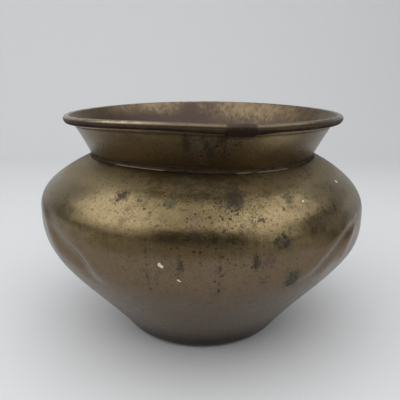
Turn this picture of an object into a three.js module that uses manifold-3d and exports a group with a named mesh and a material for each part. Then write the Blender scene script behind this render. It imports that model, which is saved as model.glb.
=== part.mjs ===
// A squat, wide-mouthed cooking pot of beaten sheet brass. A bowl with a rounded heel carries a shoulder that
// laps it round the belly. A strip bent into a flaring collar stands in the shoulder's mouth, with its top edge
// rolled outwards over a wire hoop. Fillets of brazing spelter hold the laps.
// Millimetres, +Z up. The origin is the middle of the flat that the pot stands on, and -Y is its front.
// Azimuths are in degrees from the front towards +X, and profiles are drawn as (radius, height).
import * as THREE from 'three';
import Module from 'manifold-3d';
import { mergeVertices } from 'three/addons/utils/BufferGeometryUtils.js';

const wasm = await Module();
wasm.setup();

// Sheet and joints
const SHEET = 1.2;
const CLEARANCE = 0.3; // between lapped sheets, and round the wire
const BELLY_LAP = 9; // how far the bowl's lip stands up inside the shoulder
const NECK_LAP = 8; // how far the shoulder's lip stands up inside the collar
const FILLET = 1.5; // leg of the brazed fillets

// Bowl
const BASE_RADIUS = 58.3; // the flat
const HEEL_RADIUS = 16.5;
const WALL_ANGLE = 52.7; // above level, where the wall leaves the heel
const WALL_PULL = 69.4; // how far the wall holds its line from the heel
const BELLY_RADIUS = 139.4;
const BELLY_HEIGHT = 109.8;
const BELLY_PULL_BELOW = 33.9; // how far the wall stays upright below the belly line

// Shoulder
const BELLY_PULL_ABOVE = 14; // how far the shoulder stays upright above the belly line
const SHOULDER_PULL = 48.4; // how far the shoulder holds its line out from the neck
const SHOULDER_ANGLE = 24.8; // above level, where it meets the neck
const SHOULDER_HEIGHT = 47;
const NECK_RADIUS = 95.5;

// Collar
const NECK_LEAN = 25; // outwards from upright, at the foot
const NECK_PULL = 14; // how far the collar holds its lean from the foot
const NECK_FILLET = 0.8; // inner rounding of the foot's bend
const TOE = 1.2; // straight part of the foot that lies on the shoulder
const COLLAR_HEIGHT = 36.4; // from the neck's corner to the top of the rim
const RIM_OVERHANG = 22.5; // how much further out the rim reaches than the neck's corner
const RIM_FLARE = 37; // outwards from upright, where the sheet enters the roll
const RIM_PULL = 8; // how far the collar holds its flare below the roll
const CREASE = 0.6; // rounding between the roll and its turned-down edge
const TURNED_EDGE = 1.6;

// Rim wire and the collar's seam
const WIRE_RADIUS = 1.5;
const SEAM_AZIMUTH = 7.5;
const SEAM_LAP = 9; // degrees that the collar's hidden tongue runs on past the seam
const SEAM_PROUD = 0.6; // how far the outer leaf stands off the collar's face
const SEAM_EASE = 3; // how far above the tongue the outer leaf comes back to the collar's face
const WIRE_LAP = 6; // degrees that the wire's ends lie one under the other
const WIRE_RISE = 9; // degrees in which the lower end climbs back to its place

// Marks of hand work: how far the metal departs from a turned shape
const NECK_SAG = 1.9; // the neck hangs lower right of the front, and as much higher left of it
const NECK_SAG_SPREAD = 80;
const RIM_SAG_SPREAD = 36;
const RIM_SADDLE = 2.4; // the rim hangs lower at both sides than at the front and back
const SHOULDER_SHIFT = -1.3; // towards +X, half way up the shoulder
const COLLAR_SHIFT = 1.1; // towards +X, at the rim
const LEFT_DENT = { azimuth: -42, width: 16, height: 88, reach: 36, depth: 1.8 };
const RIGHT_DENT = { azimuth: 52, width: 12, height: 90, reach: 30, depth: 1.6 };
const RIGHT_BULGE = { azimuth: 82, width: 34, height: 78, reach: 34, depth: -3.2 };

// Facets
const RING_STEP = 6; // degrees
const SEAM_SPAN = 24; // degrees beyond the seam that are cut twice as finely
const HEEL_STEPS = 4;
const WALL_STEPS = 8;
const SHOULDER_STEPS = 6;
const BEND_STEPS = 3;
const TONGUE_STEPS = 2;
const ROLL_STEPS = 8;
const CREASE_STEPS = 2;
const WIRE_SIDES = 6;

const BRASS = { color: 0x8a7245, roughness: 0.42, metalness: 0.9 };
const IRON = { color: 0x4a3d36, roughness: 0.7, metalness: 0.8 };
const SPELTER = { color: 0xa08a52, roughness: 0.5, metalness: 0.85 };

// Profile drawing

const { degToRad, radToDeg, clamp, lerp, smoothstep, euclideanModulo } = THREE.MathUtils;

const at = (radius, height) => new THREE.Vector2(radius, height);

// A unit direction at an angle above level, seen with the radius to the right.
const heading = (degrees) => at(Math.cos(degToRad(degrees)), Math.sin(degToRad(degrees)));

const angleOf = (direction) => radToDeg(Math.atan2(direction.y, direction.x));

const onward = (point, direction, distance) => point.clone().addScaledVector(direction, distance);

// Evenly spaced numbers, both ends included.
const spaced = (from, to, steps) => Array.from({ length: steps + 1 }, (_, i) => lerp(from, to, i / steps));

const arc = (centre, radius, from, to, steps) =>
  spaced(from, to, steps).map((angle) => onward(centre, heading(angle), radius));

const along = (curve, distances) => distances.map((distance) => curve.getPointAt(distance / curve.getLength()));

// The line that runs a set distance to the left of another, with mitred corners.
function beside(line, distance) {
  const lefts = line.slice(1).map((point, i) => {
    const step = point.clone().sub(line[i]).normalize();
    return at(-step.y, step.x);
  });
  return line.map((point, i) => {
    const before = lefts[Math.max(i - 1, 0)];
    const after = lefts[Math.min(i, lefts.length - 1)];
    return onward(point, before.clone().add(after), distance / (1 + before.dot(after)));
  });
}

// The outline of a sheet that follows a line, from one distance left of it to a greater one.
const sheet = (line, near, far) => [...beside(line, near), ...beside(line, far).reverse()];

// Where the next piece may start above a lip and its braze.
const overBraze = (lap) => lap + CLEARANCE + FILLET + CLEARANCE;

// Body profile, drawn on the outer face from the middle of the base upwards

const heel = arc(at(BASE_RADIUS, HEEL_RADIUS), HEEL_RADIUS, -90, WALL_ANGLE - 90, HEEL_STEPS);
const heelEnd = heel[HEEL_STEPS];
const belly = at(BELLY_RADIUS, BELLY_HEIGHT);
const wallCurve = new THREE.CubicBezierCurve(
  heelEnd,
  onward(heelEnd, heading(WALL_ANGLE), WALL_PULL),
  onward(belly, heading(-90), BELLY_PULL_BELOW),
  belly,
);

const neckHeight = BELLY_HEIGHT + SHOULDER_HEIGHT;
const neckCorner = at(NECK_RADIUS, neckHeight);
const shoulderCurve = new THREE.CubicBezierCurve(
  belly,
  onward(belly, heading(90), BELLY_PULL_ABOVE),
  onward(neckCorner, heading(-SHOULDER_ANGLE), SHOULDER_PULL),
  neckCorner,
);

// Collar profile, drawn on the face towards the mouth: inwards along the toe, round the foot's bend, up the
// wall, out and round over the wire, and down the turned edge outside the wall

const upShoulder = heading(180 - SHOULDER_ANGLE);
const upNeck = heading(90 - NECK_LEAN);
const outOfNeck = heading(-NECK_LEAN);
const skew = 1 / Math.cos(degToRad(SHOULDER_ANGLE - NECK_LEAN));
const footCorner = onward(onward(neckCorner, upShoulder, skew * SHEET), upNeck, skew * CLEARANCE);
const bendRadius = NECK_FILLET + SHEET;
const bendReach = bendRadius * Math.tan(degToRad((90 - SHOULDER_ANGLE + NECK_LEAN) / 2));
const bendStart = onward(footCorner, upShoulder, -bendReach);
const bendCentre = onward(bendStart, heading(90 - SHOULDER_ANGLE), bendRadius);
const bend = arc(bendCentre, bendRadius, 270 - SHOULDER_ANGLE, 180 - NECK_LEAN, BEND_STEPS);
const bendEnd = bend[BEND_STEPS];
const toeTip = onward(bendStart, upShoulder, -TOE);

const rollRadius = WIRE_RADIUS + CLEARANCE + SHEET;
const rimHeight = neckHeight + COLLAR_HEIGHT;
const rollCentre = at(NECK_RADIUS + RIM_OVERHANG - rollRadius, rimHeight - rollRadius);
const rollStart = onward(rollCentre, heading(180 - RIM_FLARE), rollRadius);
const collarCurve = new THREE.CubicBezierCurve(
  bendEnd,
  onward(bendEnd, upNeck, NECK_PULL),
  onward(rollStart, heading(90 - RIM_FLARE), -RIM_PULL),
  rollStart,
);

// The turned edge lies along the wall's outer face, one bead below where the sheet enters the roll.
const edgeStation = collarCurve.getLength() - 2 * rollRadius;
const upEdge = collarCurve.getTangentAt(edgeStation / collarCurve.getLength());
const outOfEdge = at(upEdge.y, -upEdge.x);
const rollStandOff = rollCentre.clone().sub(along(collarCurve, [edgeStation])[0]).dot(outOfEdge) - SHEET;
const creaseInset = rollStandOff - CLEARANCE - SHEET - CREASE;
const creaseDrop = Math.sqrt((rollRadius + CREASE) ** 2 - creaseInset ** 2);
const creaseCentre = onward(onward(rollCentre, outOfEdge, -creaseInset), upEdge, -creaseDrop);
const tuckAngle = angleOf(creaseCentre.clone().sub(rollCentre));
const roll = arc(rollCentre, rollRadius, 180 - RIM_FLARE, tuckAngle, ROLL_STEPS);
const crease = arc(creaseCentre, CREASE, tuckAngle + 180, angleOf(outOfEdge) + 180, CREASE_STEPS);

// The wire's lower end lies under its upper one beside the seam, then climbs into line.
const wireStep = 2 * WIRE_RADIUS + CLEARANCE;
const wireDrop = (azimuth) => wireStep * (1 - smoothstep(azimuth, WIRE_LAP, WIRE_LAP + WIRE_RISE));

// The tongue stands between the neck's braze and the lowest reach of the turned edge.
const edgeReach = rollStart.clone().sub(creaseCentre).dot(upEdge) + wireStep + TURNED_EDGE;
const flushStation = collarCurve.getLength() - edgeReach;
const tongueStations = spaced(overBraze(NECK_LAP), flushStation - SEAM_EASE, TONGUE_STEPS);

// The outer leaf stands proud over the hidden tongue and for one fine cut beyond it.
const fineStep = RING_STEP / 2;
const proudAt = (azimuth) => SEAM_PROUD * clamp((SEAM_LAP - azimuth) / fineStep + 2, 0, 1);

// The collar's mouth-side line at an azimuth past the seam. The roll opens downwards where it holds both ends
// of the wire, and its turned edge is shorter there.
function collarLine(azimuth) {
  const drop = wireDrop(azimuth);
  const leaf = [toeTip, ...bend, ...along(collarCurve, [NECK_LAP, ...tongueStations])];
  const flush = along(collarCurve, [flushStation, edgeStation]);
  const bead = [...roll, ...crease.slice(1)].map((point) =>
    point.clone().sub(rollCentre).dot(upEdge) < 0 ? onward(point, upEdge, -drop) : point,
  );
  const edge = onward(bead[bead.length - 1], upEdge, -TURNED_EDGE / (1 + drop));
  return [...leaf.map((point) => onward(point, outOfNeck, proudAt(azimuth))), ...flush, ...bead, edge];
}

// Solids

// The cut azimuths of a piece that runs round from one azimuth past the seam to another. They are the same on
// every turn, so that leaves which lie on each other keep their gap.
function cuts(from, to) {
  const between = [];
  for (let azimuth = 0; azimuth < to; azimuth += azimuth % 360 < SEAM_SPAN ? fineStep : RING_STEP) {
    if (azimuth > from) between.push(azimuth);
  }
  return [from, ...between, to];
}

function place(point, azimuth) {
  const angle = degToRad(SEAM_AZIMUTH + azimuth);
  return [point.x * Math.sin(angle), -point.x * Math.cos(angle), point.y];
}

// A closed solid through outlines of as many points each, one at each azimuth, with flat ends.
function swept(azimuths, outlineAt) {
  const outlines = azimuths.map(outlineAt);
  const count = outlines[0].length;
  const positions = outlines.flatMap((outline, k) => outline.flatMap((point) => place(point, azimuths[k])));
  const faces = [];
  for (let first = 0; first < (azimuths.length - 1) * count; first += count) {
    for (let j = 0; j < count; j++) {
      const here = first + j;
      const next = first + ((j + 1) % count);
      faces.push(here, here + count, next, next, here + count, next + count);
    }
  }
  const last = (azimuths.length - 1) * count;
  const startCap = THREE.ShapeUtils.triangulateShape(outlines[0], []);
  const endCap = THREE.ShapeUtils.triangulateShape(outlines[azimuths.length - 1], []);
  faces.push(...startCap.flat(), ...endCap.flat().reverse().map((j) => last + j));
  const geometry = new THREE.BufferGeometry();
  geometry.setAttribute('position', new THREE.Float32BufferAttribute(positions, 3));
  geometry.setIndex(faces);
  return geometry;
}

// A full turn of an outline that closes on itself, or that starts and ends on the axis.
function turned(outline) {
  const profile = outline[0].x === 0 ? outline : [...outline, outline[0]];
  return new THREE.LatheGeometry(profile, 360 / RING_STEP, degToRad(SEAM_AZIMUTH)).rotateX(Math.PI / 2);
}

function toSolid(geometry) {
  const bare = mergeVertices(geometry);
  const vertProperties = bare.getAttribute('position').array;
  const triVerts = new Uint32Array(bare.index.array);
  return new wasm.Manifold(new wasm.Mesh({ numProp: 3, vertProperties, triVerts }));
}

function joined(geometry, other) {
  const mesh = toSolid(geometry).add(toSolid(other)).getMesh();
  const result = new THREE.BufferGeometry();
  result.setAttribute('position', new THREE.BufferAttribute(mesh.vertProperties, 3));
  result.setIndex(new THREE.BufferAttribute(mesh.triVerts, 1));
  return result;
}

// Hand work

// One at no distance, easing down to nothing where it reaches.
const hump = (distance, reach) => Math.cos((Math.PI / 2) * clamp(distance / reach, -1, 1)) ** 2;

function sagAt(azimuth, height) {
  const spread = lerp(NECK_SAG_SPREAD, RIM_SAG_SPREAD, clamp((height - neckHeight) / COLLAR_HEIGHT, 0, 1));
  const size = NECK_SAG * smoothstep(height, BELLY_HEIGHT, neckHeight);
  const saddle = RIM_SADDLE * smoothstep(height, neckHeight, rimHeight) * Math.sin(degToRad(azimuth)) ** 2;
  return saddle + size * Math.sin(degToRad(2 * azimuth)) * Math.exp(-((azimuth / spread) ** 2));
}

function shiftAt(height) {
  const middle = BELLY_HEIGHT + SHOULDER_HEIGHT / 2;
  const shoulderShift = SHOULDER_SHIFT * hump(height - middle, middle - BELLY_HEIGHT);
  return shoulderShift + COLLAR_SHIFT * smoothstep(height, middle, rimHeight);
}

function dentAt(dent, azimuth, height) {
  const across = euclideanModulo(azimuth - dent.azimuth + 180, 360) - 180;
  return dent.depth * hump(across, dent.width) * hump(height - dent.height, dent.reach);
}

function handWorked(geometry) {
  const position = geometry.getAttribute('position');
  for (let i = 0; i < position.count; i++) {
    const [x, y, height] = [position.getX(i), position.getY(i), position.getZ(i)];
    const azimuth = radToDeg(Math.atan2(x, -y));
    const depths = [LEFT_DENT, RIGHT_DENT, RIGHT_BULGE].map((dent) => dentAt(dent, azimuth, height));
    const keep = 1 - depths.reduce((sum, depth) => sum + depth) / Math.max(Math.hypot(x, y), SHEET);
    position.setXYZ(i, x * keep + shiftAt(height), y * keep, height - sagAt(azimuth, height));
  }
  return geometry;
}

// Pieces

function lowerBowl() {
  const wall = along(wallCurve, spaced(0, wallCurve.getLength() - CLEARANCE, WALL_STEPS)).slice(1);
  const lip = beside(along(shoulderCurve, [0, BELLY_LAP]), SHEET + CLEARANCE);
  const ledge = at(lip[0].x, wall[WALL_STEPS - 1].y);
  return turned(sheet([at(0, 0), ...heel, ...wall, ledge, lip[1]], 0, SHEET));
}

function shoulder() {
  const toeStation = shoulderCurve.getLength() - bendReach - TOE;
  const stations = [0, BELLY_LAP, ...spaced(overBraze(BELLY_LAP), toeStation, SHOULDER_STEPS)];
  const lip = beside([toeTip, ...bend, ...along(collarCurve, [NECK_LAP])], CLEARANCE).slice(1);
  return turned(sheet([...along(shoulderCurve, stations), ...lip], 0, SHEET));
}

const stripEnd = 360 - radToDeg(CLEARANCE / NECK_RADIUS);
const tongueLine = along(collarCurve, tongueStations);
const tongueFace = CLEARANCE - SEAM_PROUD; // its outer face, left of the collar's line

// The strip's end grows into a tongue that runs on behind its start, cut back at the foot and at the roll.
function neckCollar() {
  const strip = swept(cuts(0, stripEnd), (azimuth) => sheet(collarLine(azimuth), -SHEET, 0));
  const root = sheet(tongueLine, (-2 / 3) * SHEET, -SHEET / 3);
  const tongue = swept([360 - RING_STEP, ...cuts(stripEnd, 360 + SEAM_LAP)], (azimuth) =>
    azimuth < stripEnd ? root : sheet(tongueLine, tongueFace, tongueFace + SHEET),
  );
  return joined(strip, tongue);
}

// One hoop of wire, a little longer than the rim: its start lies under its end beside the seam.
function rimWire() {
  return swept(cuts(0, 360 + WIRE_LAP), (azimuth) => {
    const centre = onward(rollCentre, upEdge, azimuth < 360 ? -wireDrop(azimuth) : 0);
    return arc(centre, WIRE_RADIUS, 0, 360, WIRE_SIDES).slice(1);
  });
}

// A ring of spelter over a lip's edge, in its corner with the sheet that the lip stands in. The depth runs
// from the curve to the lip's outer face.
function ringBraze(curve, lap, depth) {
  const [start, edge, beyond] = along(curve, [0, lap, overBraze(lap)]);
  const upLip = edge.clone().sub(start).normalize();
  const upSheet = beyond.sub(edge).normalize();
  const corner = (left) => onward(beside([start, edge], left)[1], upLip, CLEARANCE);
  return turned([corner(depth), onward(corner(depth), upSheet, FILLET), corner(depth + FILLET)]);
}

// Spelter past the tongue's end, thinning out along the collar's inner face.
function seamBraze() {
  const start = 360 + SEAM_LAP + radToDeg(CLEARANCE / NECK_RADIUS);
  const end = start + radToDeg(FILLET / NECK_RADIUS);
  return swept([start, end], (azimuth) =>
    sheet(tongueLine, tongueFace, tongueFace + (azimuth === start ? SHEET : CLEARANCE)),
  );
}

const PIECES = [
  ['lower_bowl', lowerBowl(), BRASS],
  ['shoulder', shoulder(), BRASS],
  ['neck_collar', neckCollar(), BRASS],
  ['rim_wire', rimWire(), IRON],
  ['belly_braze', ringBraze(shoulderCurve, BELLY_LAP, SHEET + CLEARANCE), SPELTER],
  ['neck_braze', ringBraze(collarCurve, NECK_LAP, CLEARANCE), SPELTER],
  ['seam_braze', seamBraze(), SPELTER],
];

const pot = new THREE.Group();
for (const [name, geometry, finish] of PIECES) {
  const mesh = new THREE.Mesh(handWorked(geometry), new THREE.MeshStandardMaterial(finish));
  mesh.name = name;
  pot.add(mesh);
}

export default pot;
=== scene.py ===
"""A squat, wide-mouthed pot of beaten brass, aged and stained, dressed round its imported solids.

Lengths are in metres and angles in degrees. Azimuths run from the front, -Y, towards +X, and a line is drawn
as (radius, height) points. The pot is sheet, wire and spelter: a bowl and a shoulder that meet at the belly,
and a collar whose top edge is rolled over a hoop of wire, with its upright seam to the right of the front.
"""

import logging
import math
from dataclasses import dataclass
from enum import Enum
from typing import Optional, Sequence, Union

import bpy
import numpy as np
from mathutils import Euler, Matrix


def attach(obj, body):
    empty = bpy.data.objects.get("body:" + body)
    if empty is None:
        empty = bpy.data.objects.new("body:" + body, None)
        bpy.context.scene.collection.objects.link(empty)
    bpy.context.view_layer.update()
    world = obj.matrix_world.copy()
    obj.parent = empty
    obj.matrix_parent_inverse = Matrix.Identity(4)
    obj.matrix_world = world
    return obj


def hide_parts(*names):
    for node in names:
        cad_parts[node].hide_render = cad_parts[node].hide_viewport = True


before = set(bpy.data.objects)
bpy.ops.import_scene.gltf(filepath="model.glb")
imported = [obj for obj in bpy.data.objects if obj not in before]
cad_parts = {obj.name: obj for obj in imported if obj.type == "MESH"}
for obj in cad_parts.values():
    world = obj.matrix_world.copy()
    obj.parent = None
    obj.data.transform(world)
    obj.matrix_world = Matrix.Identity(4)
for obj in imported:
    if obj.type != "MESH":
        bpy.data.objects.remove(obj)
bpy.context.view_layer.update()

MM = 0.001
IMAGE_SIDE = 400
SHARP_ANGLE = 28.0
CORNER_POINTS = 4

Line = np.ndarray
Number = Union[float, np.ndarray]
Zone = tuple[float, float]
Colour = tuple[float, float, float, float]
log = logging.getLogger("pot")


class Slot(Enum):
    """Names of the material slots for the new pieces."""

    BRASS = "brass"
    SPELTER = "spelter"


class Mask(Enum):
    """The values that the metal's points carry for its finish."""

    OUTSIDE = "outside"
    WORN_AND_GLINT = "worn_and_glint"
    POLISH_AND_HIGHLIGHT = "polish_and_highlight"
    PITTED = "pitted"
    DARK = "dark"
    GREEN = "green"
    PLUM = "plum"
    GRIME_AND_SHADE = "grime_and_shade"
    WARM_AND_HIGHLIGHT = "warm_and_highlight"
    CLOUDY = "cloudy"


def heading(degrees: float) -> Line:
    """Give a unit direction at an angle above level, seen with the radius to the right."""
    return np.array([math.cos(math.radians(degrees)), math.sin(math.radians(degrees))])


def angle_of(direction: Line) -> float:
    """Give the angle above level of a direction."""
    return math.degrees(math.atan2(direction[1], direction[0]))


def arc(centre: Line, radius: float, start: float, end: float, steps: int) -> Line:
    """Draw an arc of a circle.

    Args:
        centre: its centre.
        radius: its radius.
        start: the angle above level of its first point.
        end: the angle above level of its last point.
        steps: how many chords it has.

    Returns:
        The points, both ends included.
    """
    angles = np.radians(np.linspace(start, end, steps + 1))
    return centre + radius * np.column_stack([np.cos(angles), np.sin(angles)])


def smooth(value: Number, low: float, high: float) -> Number:
    """Ease from 0 at one value to 1 at a greater one."""
    t = np.clip((value - low) / (high - low), 0.0, 1.0)
    return t * t * (3.0 - 2.0 * t)


def hump(distance: Number, reach: float) -> Number:
    """Ease from 1 at no distance down to 0 where it reaches."""
    return np.cos(np.pi / 2 * np.clip(distance / reach, -1.0, 1.0)) ** 2


def wrapped(degrees: Number) -> Number:
    """Bring an angle into the half turn either side of the front."""
    return (degrees + 180.0) % 360.0 - 180.0


def beside(line: Line, distance: Number) -> Line:
    """Draw the line to the left of another, by one distance or one for each point, with mitred corners."""
    steps = np.diff(line, axis=0)
    steps /= np.linalg.norm(steps, axis=1)[:, None]
    lefts = np.column_stack([-steps[:, 1], steps[:, 0]])
    before = np.vstack([lefts[:1], lefts])
    after = np.vstack([lefts, lefts[-1:]])
    along = 1.0 + (before * after).sum(axis=1)
    return line + (before + after) * (distance / along)[:, None]


def softened_edge(first: Line, second: Line, rounding: float) -> Line:
    """Round both corners of a sheet's cut edge.

    Args:
        first: the corner that the outline reaches first.
        second: the other corner, to the left of the way out of the sheet.
        rounding: the corners' radius.

    Returns:
        The points of both rounded corners, in order.
    """
    across = (second - first) / np.linalg.norm(second - first)
    out = np.array([across[1], -across[0]])
    turn = np.radians(np.linspace(0.0, 90.0, CORNER_POINTS))[:, None]
    near = first + rounding * (across - out) + rounding * (np.sin(turn) * out - np.cos(turn) * across)
    far = second - rounding * (across + out) + rounding * (np.cos(turn) * out + np.sin(turn) * across)
    return np.vstack([near, far])


def sheet_outline(line: Line, near: Number, far: Number, rounding: float = 0.3 * MM, thin: int = 1) -> Line:
    """Draw the outline of a sheet that follows a line, counter-clockwise.

    Args:
        line: the line that the sheet follows.
        near: the nearer face's distance to the left of the line.
        far: the farther face's distance to the left of the line, greater than the nearer one's.
        rounding: the radius of the corners of its cut edges.
        thin: take every so many points on the farther face.

    Returns:
        The outline, which starts and ends on the axis where the line starts there, and closes otherwise.
    """
    right, left = beside(line, near), beside(line, far)
    inner = left[1:-1][::thin][::-1]
    end = softened_edge(right[-1], left[-1], rounding)
    if line[0, 0] == 0.0:
        return np.vstack([right[:-1], end, inner, left[:1]])
    return np.vstack([right[1:-1], end, inner, softened_edge(left[0], right[0], rounding)])


class Curve:
    """A cubic Bezier that is read by the distance along it."""

    SAMPLES = 1500

    def __init__(self, *corners: Line) -> None:
        """Take the curve's four corners."""
        t = np.linspace(0.0, 1.0, self.SAMPLES)[:, None]
        a, b, c, d = corners
        self.points = a * (1 - t) ** 3 + 3 * b * t * (1 - t) ** 2 + 3 * c * t**2 * (1 - t) + d * t**3
        steps = np.linalg.norm(np.diff(self.points, axis=0), axis=1)
        self.distances = np.concatenate([[0.0], np.cumsum(steps)])

    @property
    def length(self) -> float:
        """Give the curve's length."""
        return float(self.distances[-1])

    def at(self, stations: Union[float, Sequence[float], Line]) -> Line:
        """Give the points at these distances along the curve."""
        where = np.atleast_1d(stations)
        return np.column_stack([np.interp(where, self.distances, self.points[:, k]) for k in range(2)])

    def tangent(self, station: float) -> Line:
        """Give the unit direction of the curve at a distance along it."""
        step = np.diff(self.at([station - MM / 10, station + MM / 10]), axis=0)[0]
        return step / np.linalg.norm(step)


@dataclass(frozen=True)
class BodyLines:
    """The driving sizes of the bowl and shoulder, and the lines that their outer faces follow."""

    sheet: float = 1.2 * MM
    clearance: float = 0.3 * MM
    belly_lap: float = 9 * MM
    neck_lap: float = 8 * MM
    fillet: float = 1.5 * MM
    base_radius: float = 58.3 * MM
    heel_radius: float = 16.5 * MM
    wall_angle: float = 52.7
    wall_pull: float = 69.4 * MM
    belly_radius: float = 139.4 * MM
    belly_height: float = 109.8 * MM
    belly_pull_below: float = 33.9 * MM
    belly_pull_above: float = 14 * MM
    shoulder_pull: float = 48.4 * MM
    shoulder_angle: float = 24.8
    shoulder_height: float = 47 * MM
    neck_radius: float = 95.5 * MM

    @property
    def belly(self) -> Line:
        """Give the widest point of the outer face."""
        return np.array([self.belly_radius, self.belly_height])

    @property
    def neck_height(self) -> float:
        """Give the height of the corner between shoulder and collar."""
        return self.belly_height + self.shoulder_height

    @property
    def neck_corner(self) -> Line:
        """Give the corner between shoulder and collar."""
        return np.array([self.neck_radius, self.neck_height])

    def heel(self, steps: int) -> Line:
        """Draw the rounded heel from the flat up to the wall."""
        centre = np.array([self.base_radius, self.heel_radius])
        return arc(centre, self.heel_radius, -90.0, self.wall_angle - 90.0, steps)

    def wall(self) -> Curve:
        """Give the curve from the heel up to the belly."""
        start = self.heel(1)[-1]
        leaving = start + self.wall_pull * heading(self.wall_angle)
        return Curve(start, leaving, self.belly + self.belly_pull_below * heading(-90.0), self.belly)

    def shoulder(self) -> Curve:
        """Give the curve from the belly up to the neck's corner."""
        leaving = self.belly + self.belly_pull_above * heading(90.0)
        arriving = self.neck_corner + self.shoulder_pull * heading(-self.shoulder_angle)
        return Curve(self.belly, leaving, arriving, self.neck_corner)

    def outer(self, height: Number) -> tuple[Number, Number]:
        """Give the outer face's radius at a height above the heel, and how fast it grows with height."""
        line = np.vstack([self.wall().points, self.shoulder().points[1:]])
        growth = np.gradient(line[:, 0], line[:, 1])
        return np.interp(height, line[:, 1], line[:, 0]), np.interp(height, line[:, 1], growth)

    def over_braze(self, lap: float) -> float:
        """Give the station where the next piece may start above a lip and its braze."""
        return lap + self.clearance + self.fillet + self.clearance


@dataclass(frozen=True)
class CollarLines:
    """The driving sizes of the collar, its rolled rim and its seam, and the line of its mouth side."""

    body: BodyLines = BodyLines()
    neck_lean: float = 25.0
    neck_pull: float = 14 * MM
    neck_fillet: float = 0.8 * MM
    toe: float = 1.2 * MM
    collar_height: float = 36.4 * MM
    rim_overhang: float = 22.5 * MM
    rim_flare: float = 37.0
    rim_pull: float = 8 * MM
    crease_radius: float = 0.6 * MM
    wire_radius: float = 1.5 * MM
    seam_azimuth: float = 7.5
    seam_lap: float = 9.0
    seam_tail: float = 6.0
    seam_proud: float = 0.05 * MM
    seam_ease: float = 3 * MM
    bend_steps: int = 8

    @property
    def up_shoulder(self) -> Line:
        """Give the direction up the shoulder where the collar's toe lies on it."""
        return heading(180.0 - self.body.shoulder_angle)

    @property
    def bend_reach(self) -> float:
        """Give how far before the foot's corner its bend starts."""
        turn = 90.0 - self.body.shoulder_angle + self.neck_lean
        return (self.neck_fillet + self.body.sheet) * math.tan(math.radians(turn / 2.0))

    @property
    def bend(self) -> Line:
        """Draw the bend of the collar's foot, from the toe up to the wall."""
        body = self.body
        skew = 1.0 / math.cos(math.radians(body.shoulder_angle - self.neck_lean))
        corner = body.neck_corner + skew * body.sheet * self.up_shoulder
        corner = corner + skew * body.clearance * heading(90.0 - self.neck_lean)
        radius = self.neck_fillet + body.sheet
        centre = corner - self.bend_reach * self.up_shoulder + radius * heading(90.0 - body.shoulder_angle)
        return arc(centre, radius, 270.0 - body.shoulder_angle, 180.0 - self.neck_lean, self.bend_steps)

    @property
    def toe_tip(self) -> Line:
        """Give the outer end of the toe."""
        return self.bend[0] - self.toe * self.up_shoulder

    @property
    def roll_radius(self) -> float:
        """Give the radius of the rolled rim's outer face."""
        return self.wire_radius + self.body.clearance + self.body.sheet

    @property
    def rim_height(self) -> float:
        """Give the height of the top of the rim."""
        return self.body.neck_height + self.collar_height

    @property
    def roll_centre(self) -> Line:
        """Give the middle of the rolled rim."""
        rim_radius = self.body.neck_radius + self.rim_overhang
        return np.array([rim_radius - self.roll_radius, self.rim_height - self.roll_radius])

    @property
    def roll_start(self) -> Line:
        """Give the point where the wall enters the roll."""
        return self.roll_centre + self.roll_radius * heading(180.0 - self.rim_flare)

    def wall(self) -> Curve:
        """Give the curve of the mouth side from the foot's bend up to the roll."""
        foot = self.bend[-1]
        leaving = foot + self.neck_pull * heading(90.0 - self.neck_lean)
        arriving = self.roll_start - self.rim_pull * heading(90.0 - self.rim_flare)
        return Curve(foot, leaving, arriving, self.roll_start)

    @property
    def wire_step(self) -> float:
        """Give how far below the wire's upper end its lower end lies."""
        return 2.0 * self.wire_radius + self.body.clearance


@dataclass(frozen=True)
class Hollow:
    """A broad dent in the body, or a bulge where its depth is negative."""

    azimuth: float
    width: float
    height: float
    reach: float
    depth: float

    def inward(self, azimuth: Number, height: Number) -> Number:
        """Give how far inwards it pushes the metal at a place."""
        across = hump(wrapped(azimuth - self.azimuth), self.width)
        return self.depth * across * hump(height - self.height, self.reach)


@dataclass(frozen=True)
class Crease:
    """A long narrow hollow that runs down the wall through three azimuths, from its top to its bottom.

    It is a ridge where its depth is negative. The fades are shares of the way down.
    """

    azimuths: tuple[float, float, float]
    top: float
    bottom: float
    width: float
    depth: float
    fade_in: Zone = (-0.35, 0.15)
    fade_out: Zone = (0.75, 1.3)

    def inward(self, azimuth: Number, height: Number) -> Number:
        """Give how far inwards it pushes the metal at a place."""
        t = (self.top - height) / (self.top - self.bottom)
        first, middle, last = self.azimuths
        centre = first * (1 - t) * (1 - 2 * t) + middle * 4 * t * (1 - t) + last * t * (2 * t - 1)
        fade = smooth(t, *self.fade_in) * (1.0 - smooth(t, *self.fade_out))
        return self.depth * np.exp(-((wrapped(azimuth - centre) / self.width) ** 2)) * fade


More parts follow.
